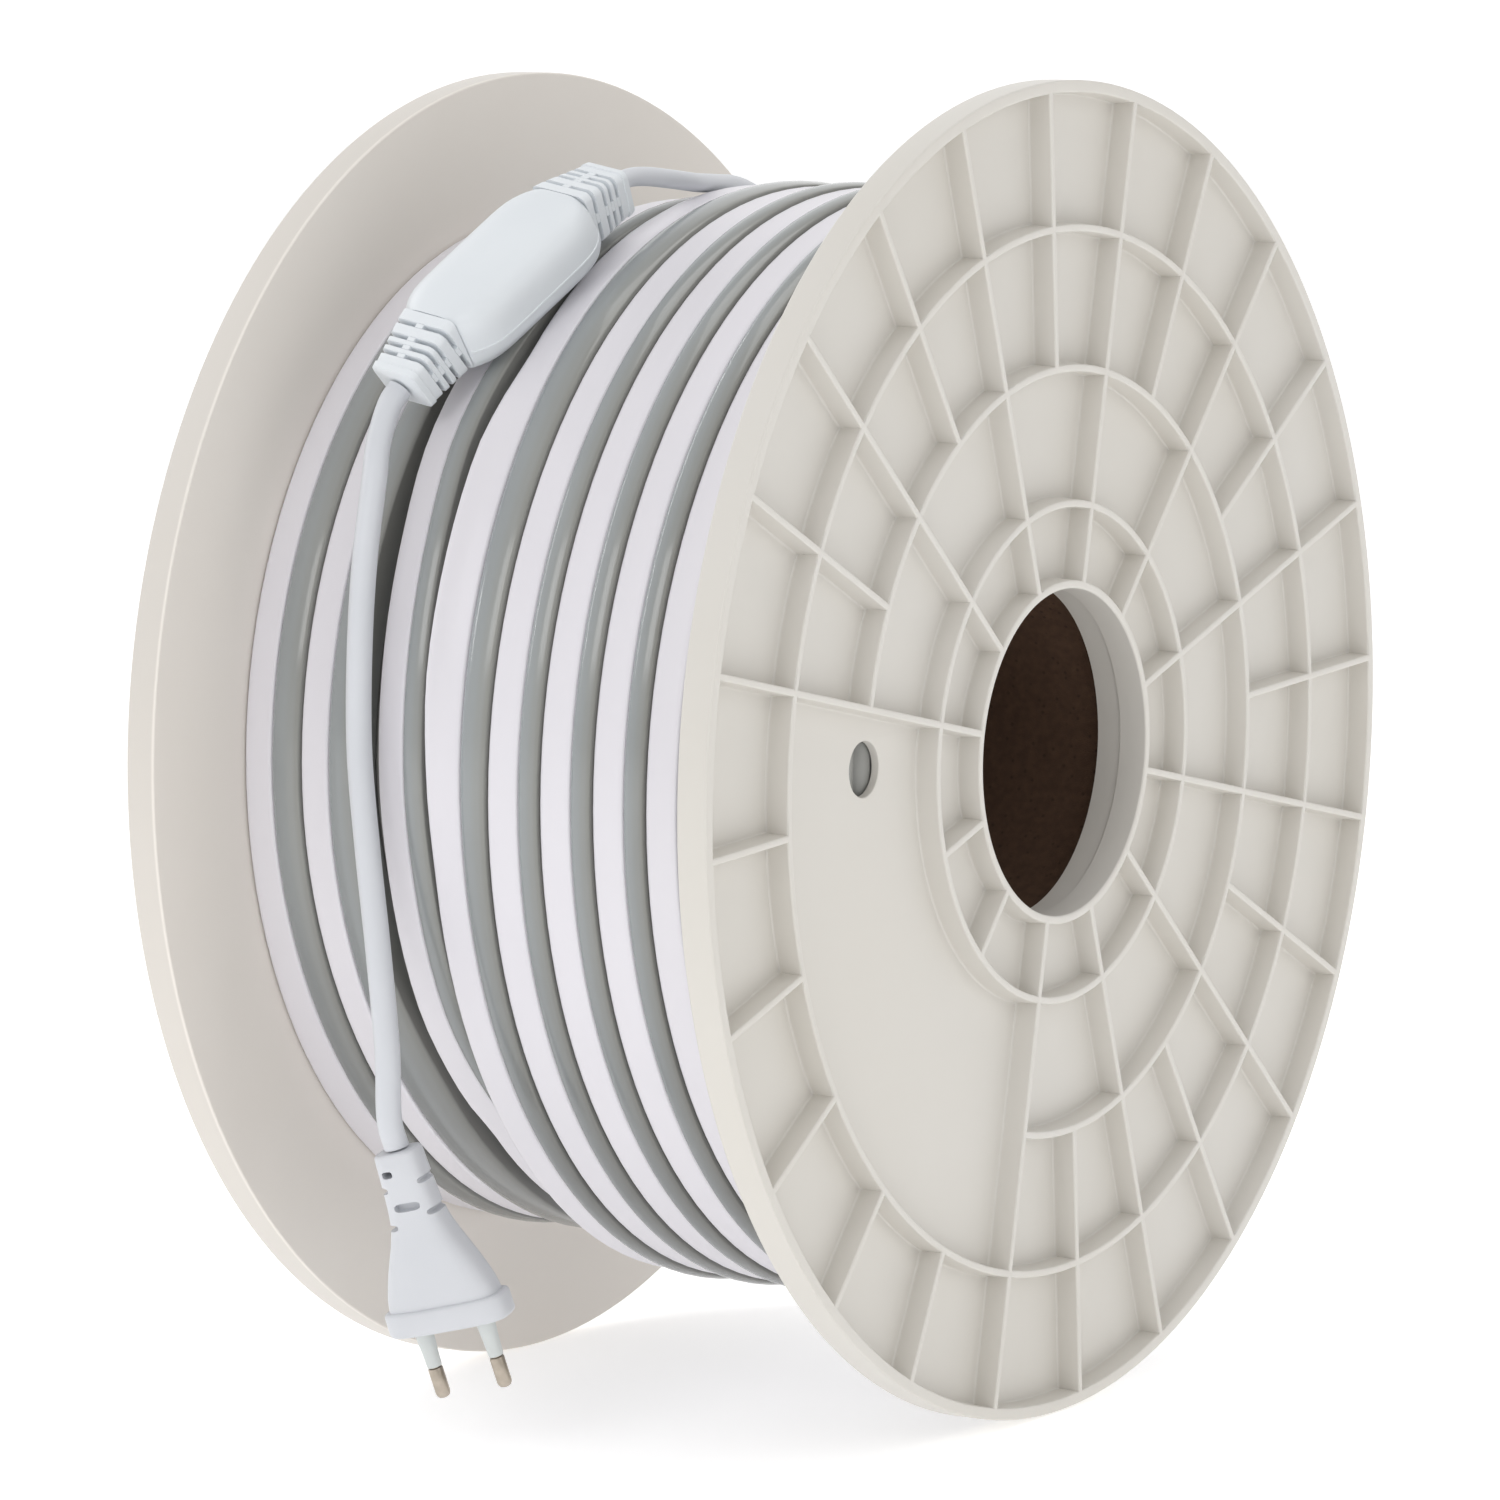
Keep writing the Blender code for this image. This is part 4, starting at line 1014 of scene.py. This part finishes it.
# Floor and light
def make_floor():
    mesh = bpy.data.meshes.new("floor")
    reach = 14.0
    mesh.from_pydata([(-reach, -reach, 0), (reach, -reach, 0), (reach, reach, 0), (-reach, reach, 0)], [],
                     [(0, 1, 2, 3)])
    finish = mixed_finish("pale_floor", (0.93, 0.93, 0.93), (0.92, 0.92, 0.92), 0.8, mottle=1.5, grain=60.0,
                          bump=0.02, specular=0.2)
    shader = finish.node_tree.nodes["Principled BSDF"]
    shader.inputs["Emission Color"].default_value = (1.0, 1.0, 1.0, 1.0)
    shader.inputs["Emission Strength"].default_value = FLOOR_GLOW
    mesh.materials.append(finish)
    floor = bpy.data.objects.new("floor", mesh)
    bpy.context.scene.collection.objects.link(floor)
    floor.location = (0, 0, -0.0005)


def add_lamp(name, place, energy, size, colour=(1.0, 1.0, 1.0), long_size=None,
             long_axis=(0.0, 0.0, 1.0)):
    """Soft lamp that faces the reel; a lamp with a long size is a strip that runs along long_axis."""
    lamp = bpy.data.lights.new(name, "AREA")
    lamp.energy = energy
    lamp.color = colour
    lamp.shape = "RECTANGLE"
    lamp.size = size
    lamp.size_y = long_size or size
    thing = bpy.data.objects.new(name, lamp)
    bpy.context.scene.collection.objects.link(thing)
    place = Vector(place)
    z = (place - CENTRE).normalized()
    x = Vector(long_axis).cross(z).normalized()
    y = z.cross(x)
    thing.matrix_world = Matrix.Translation(place) @ Matrix((x, y, z)).transposed().to_4x4()


def make_world():
    """Even studio light all round, with a white wall behind the reel as the camera sees it."""
    world = bpy.data.worlds.new("studio")
    world.use_nodes = True
    nodes, links = world.node_tree.nodes, world.node_tree.links
    place = nodes.new("ShaderNodeTexCoord")
    facing = nodes.new("ShaderNodeVectorMath")
    facing.operation = "DOT_PRODUCT"
    facing.inputs[1].default_value = BACKDROP_DIRECTION
    links.new(place.outputs["Generated"], facing.inputs[0])
    wall = map_range(nodes, links, facing.outputs["Value"], ROOM_STRENGTH, BACKDROP_STRENGTH,
                     (0.55, 0.80), "SMOOTHSTEP")
    links.new(wall, nodes["Background"].inputs["Strength"])
    nodes["Background"].inputs["Color"].default_value = (1.0, 1.0, 1.0, 1.0)
    bpy.context.scene.world = world


def make_light():
    make_world()
    bpy.context.scene.view_settings.view_transform = "Standard"
    for lamp in LAMPS:
        add_lamp(*lamp)


def make_scene():
    make_camera()
    finishes = make_finishes()
    lead, lead_length, lead_exit = make_cord("output_cord", "output_lead", OUTPUT_ROUTE,
                                             OUTPUT_LEAD_DIAMETER, finishes["sheath"])
    cord, cord_length, cord_exit = make_cord("mains_cord", "supply_cord", SUPPLY_ROUTE,
                                             SUPPLY_CORD_DIAMETER, finishes["sheath"])
    plug = make_plug(finishes)
    make_flanges(finishes)
    make_tube(finishes["board"])
    make_winding(finishes)
    make_rectifier(finishes)
    make_connector(finishes["rectifier"])
    make_floor()
    make_light()
    bpy.context.view_layer.update()


make_scene()
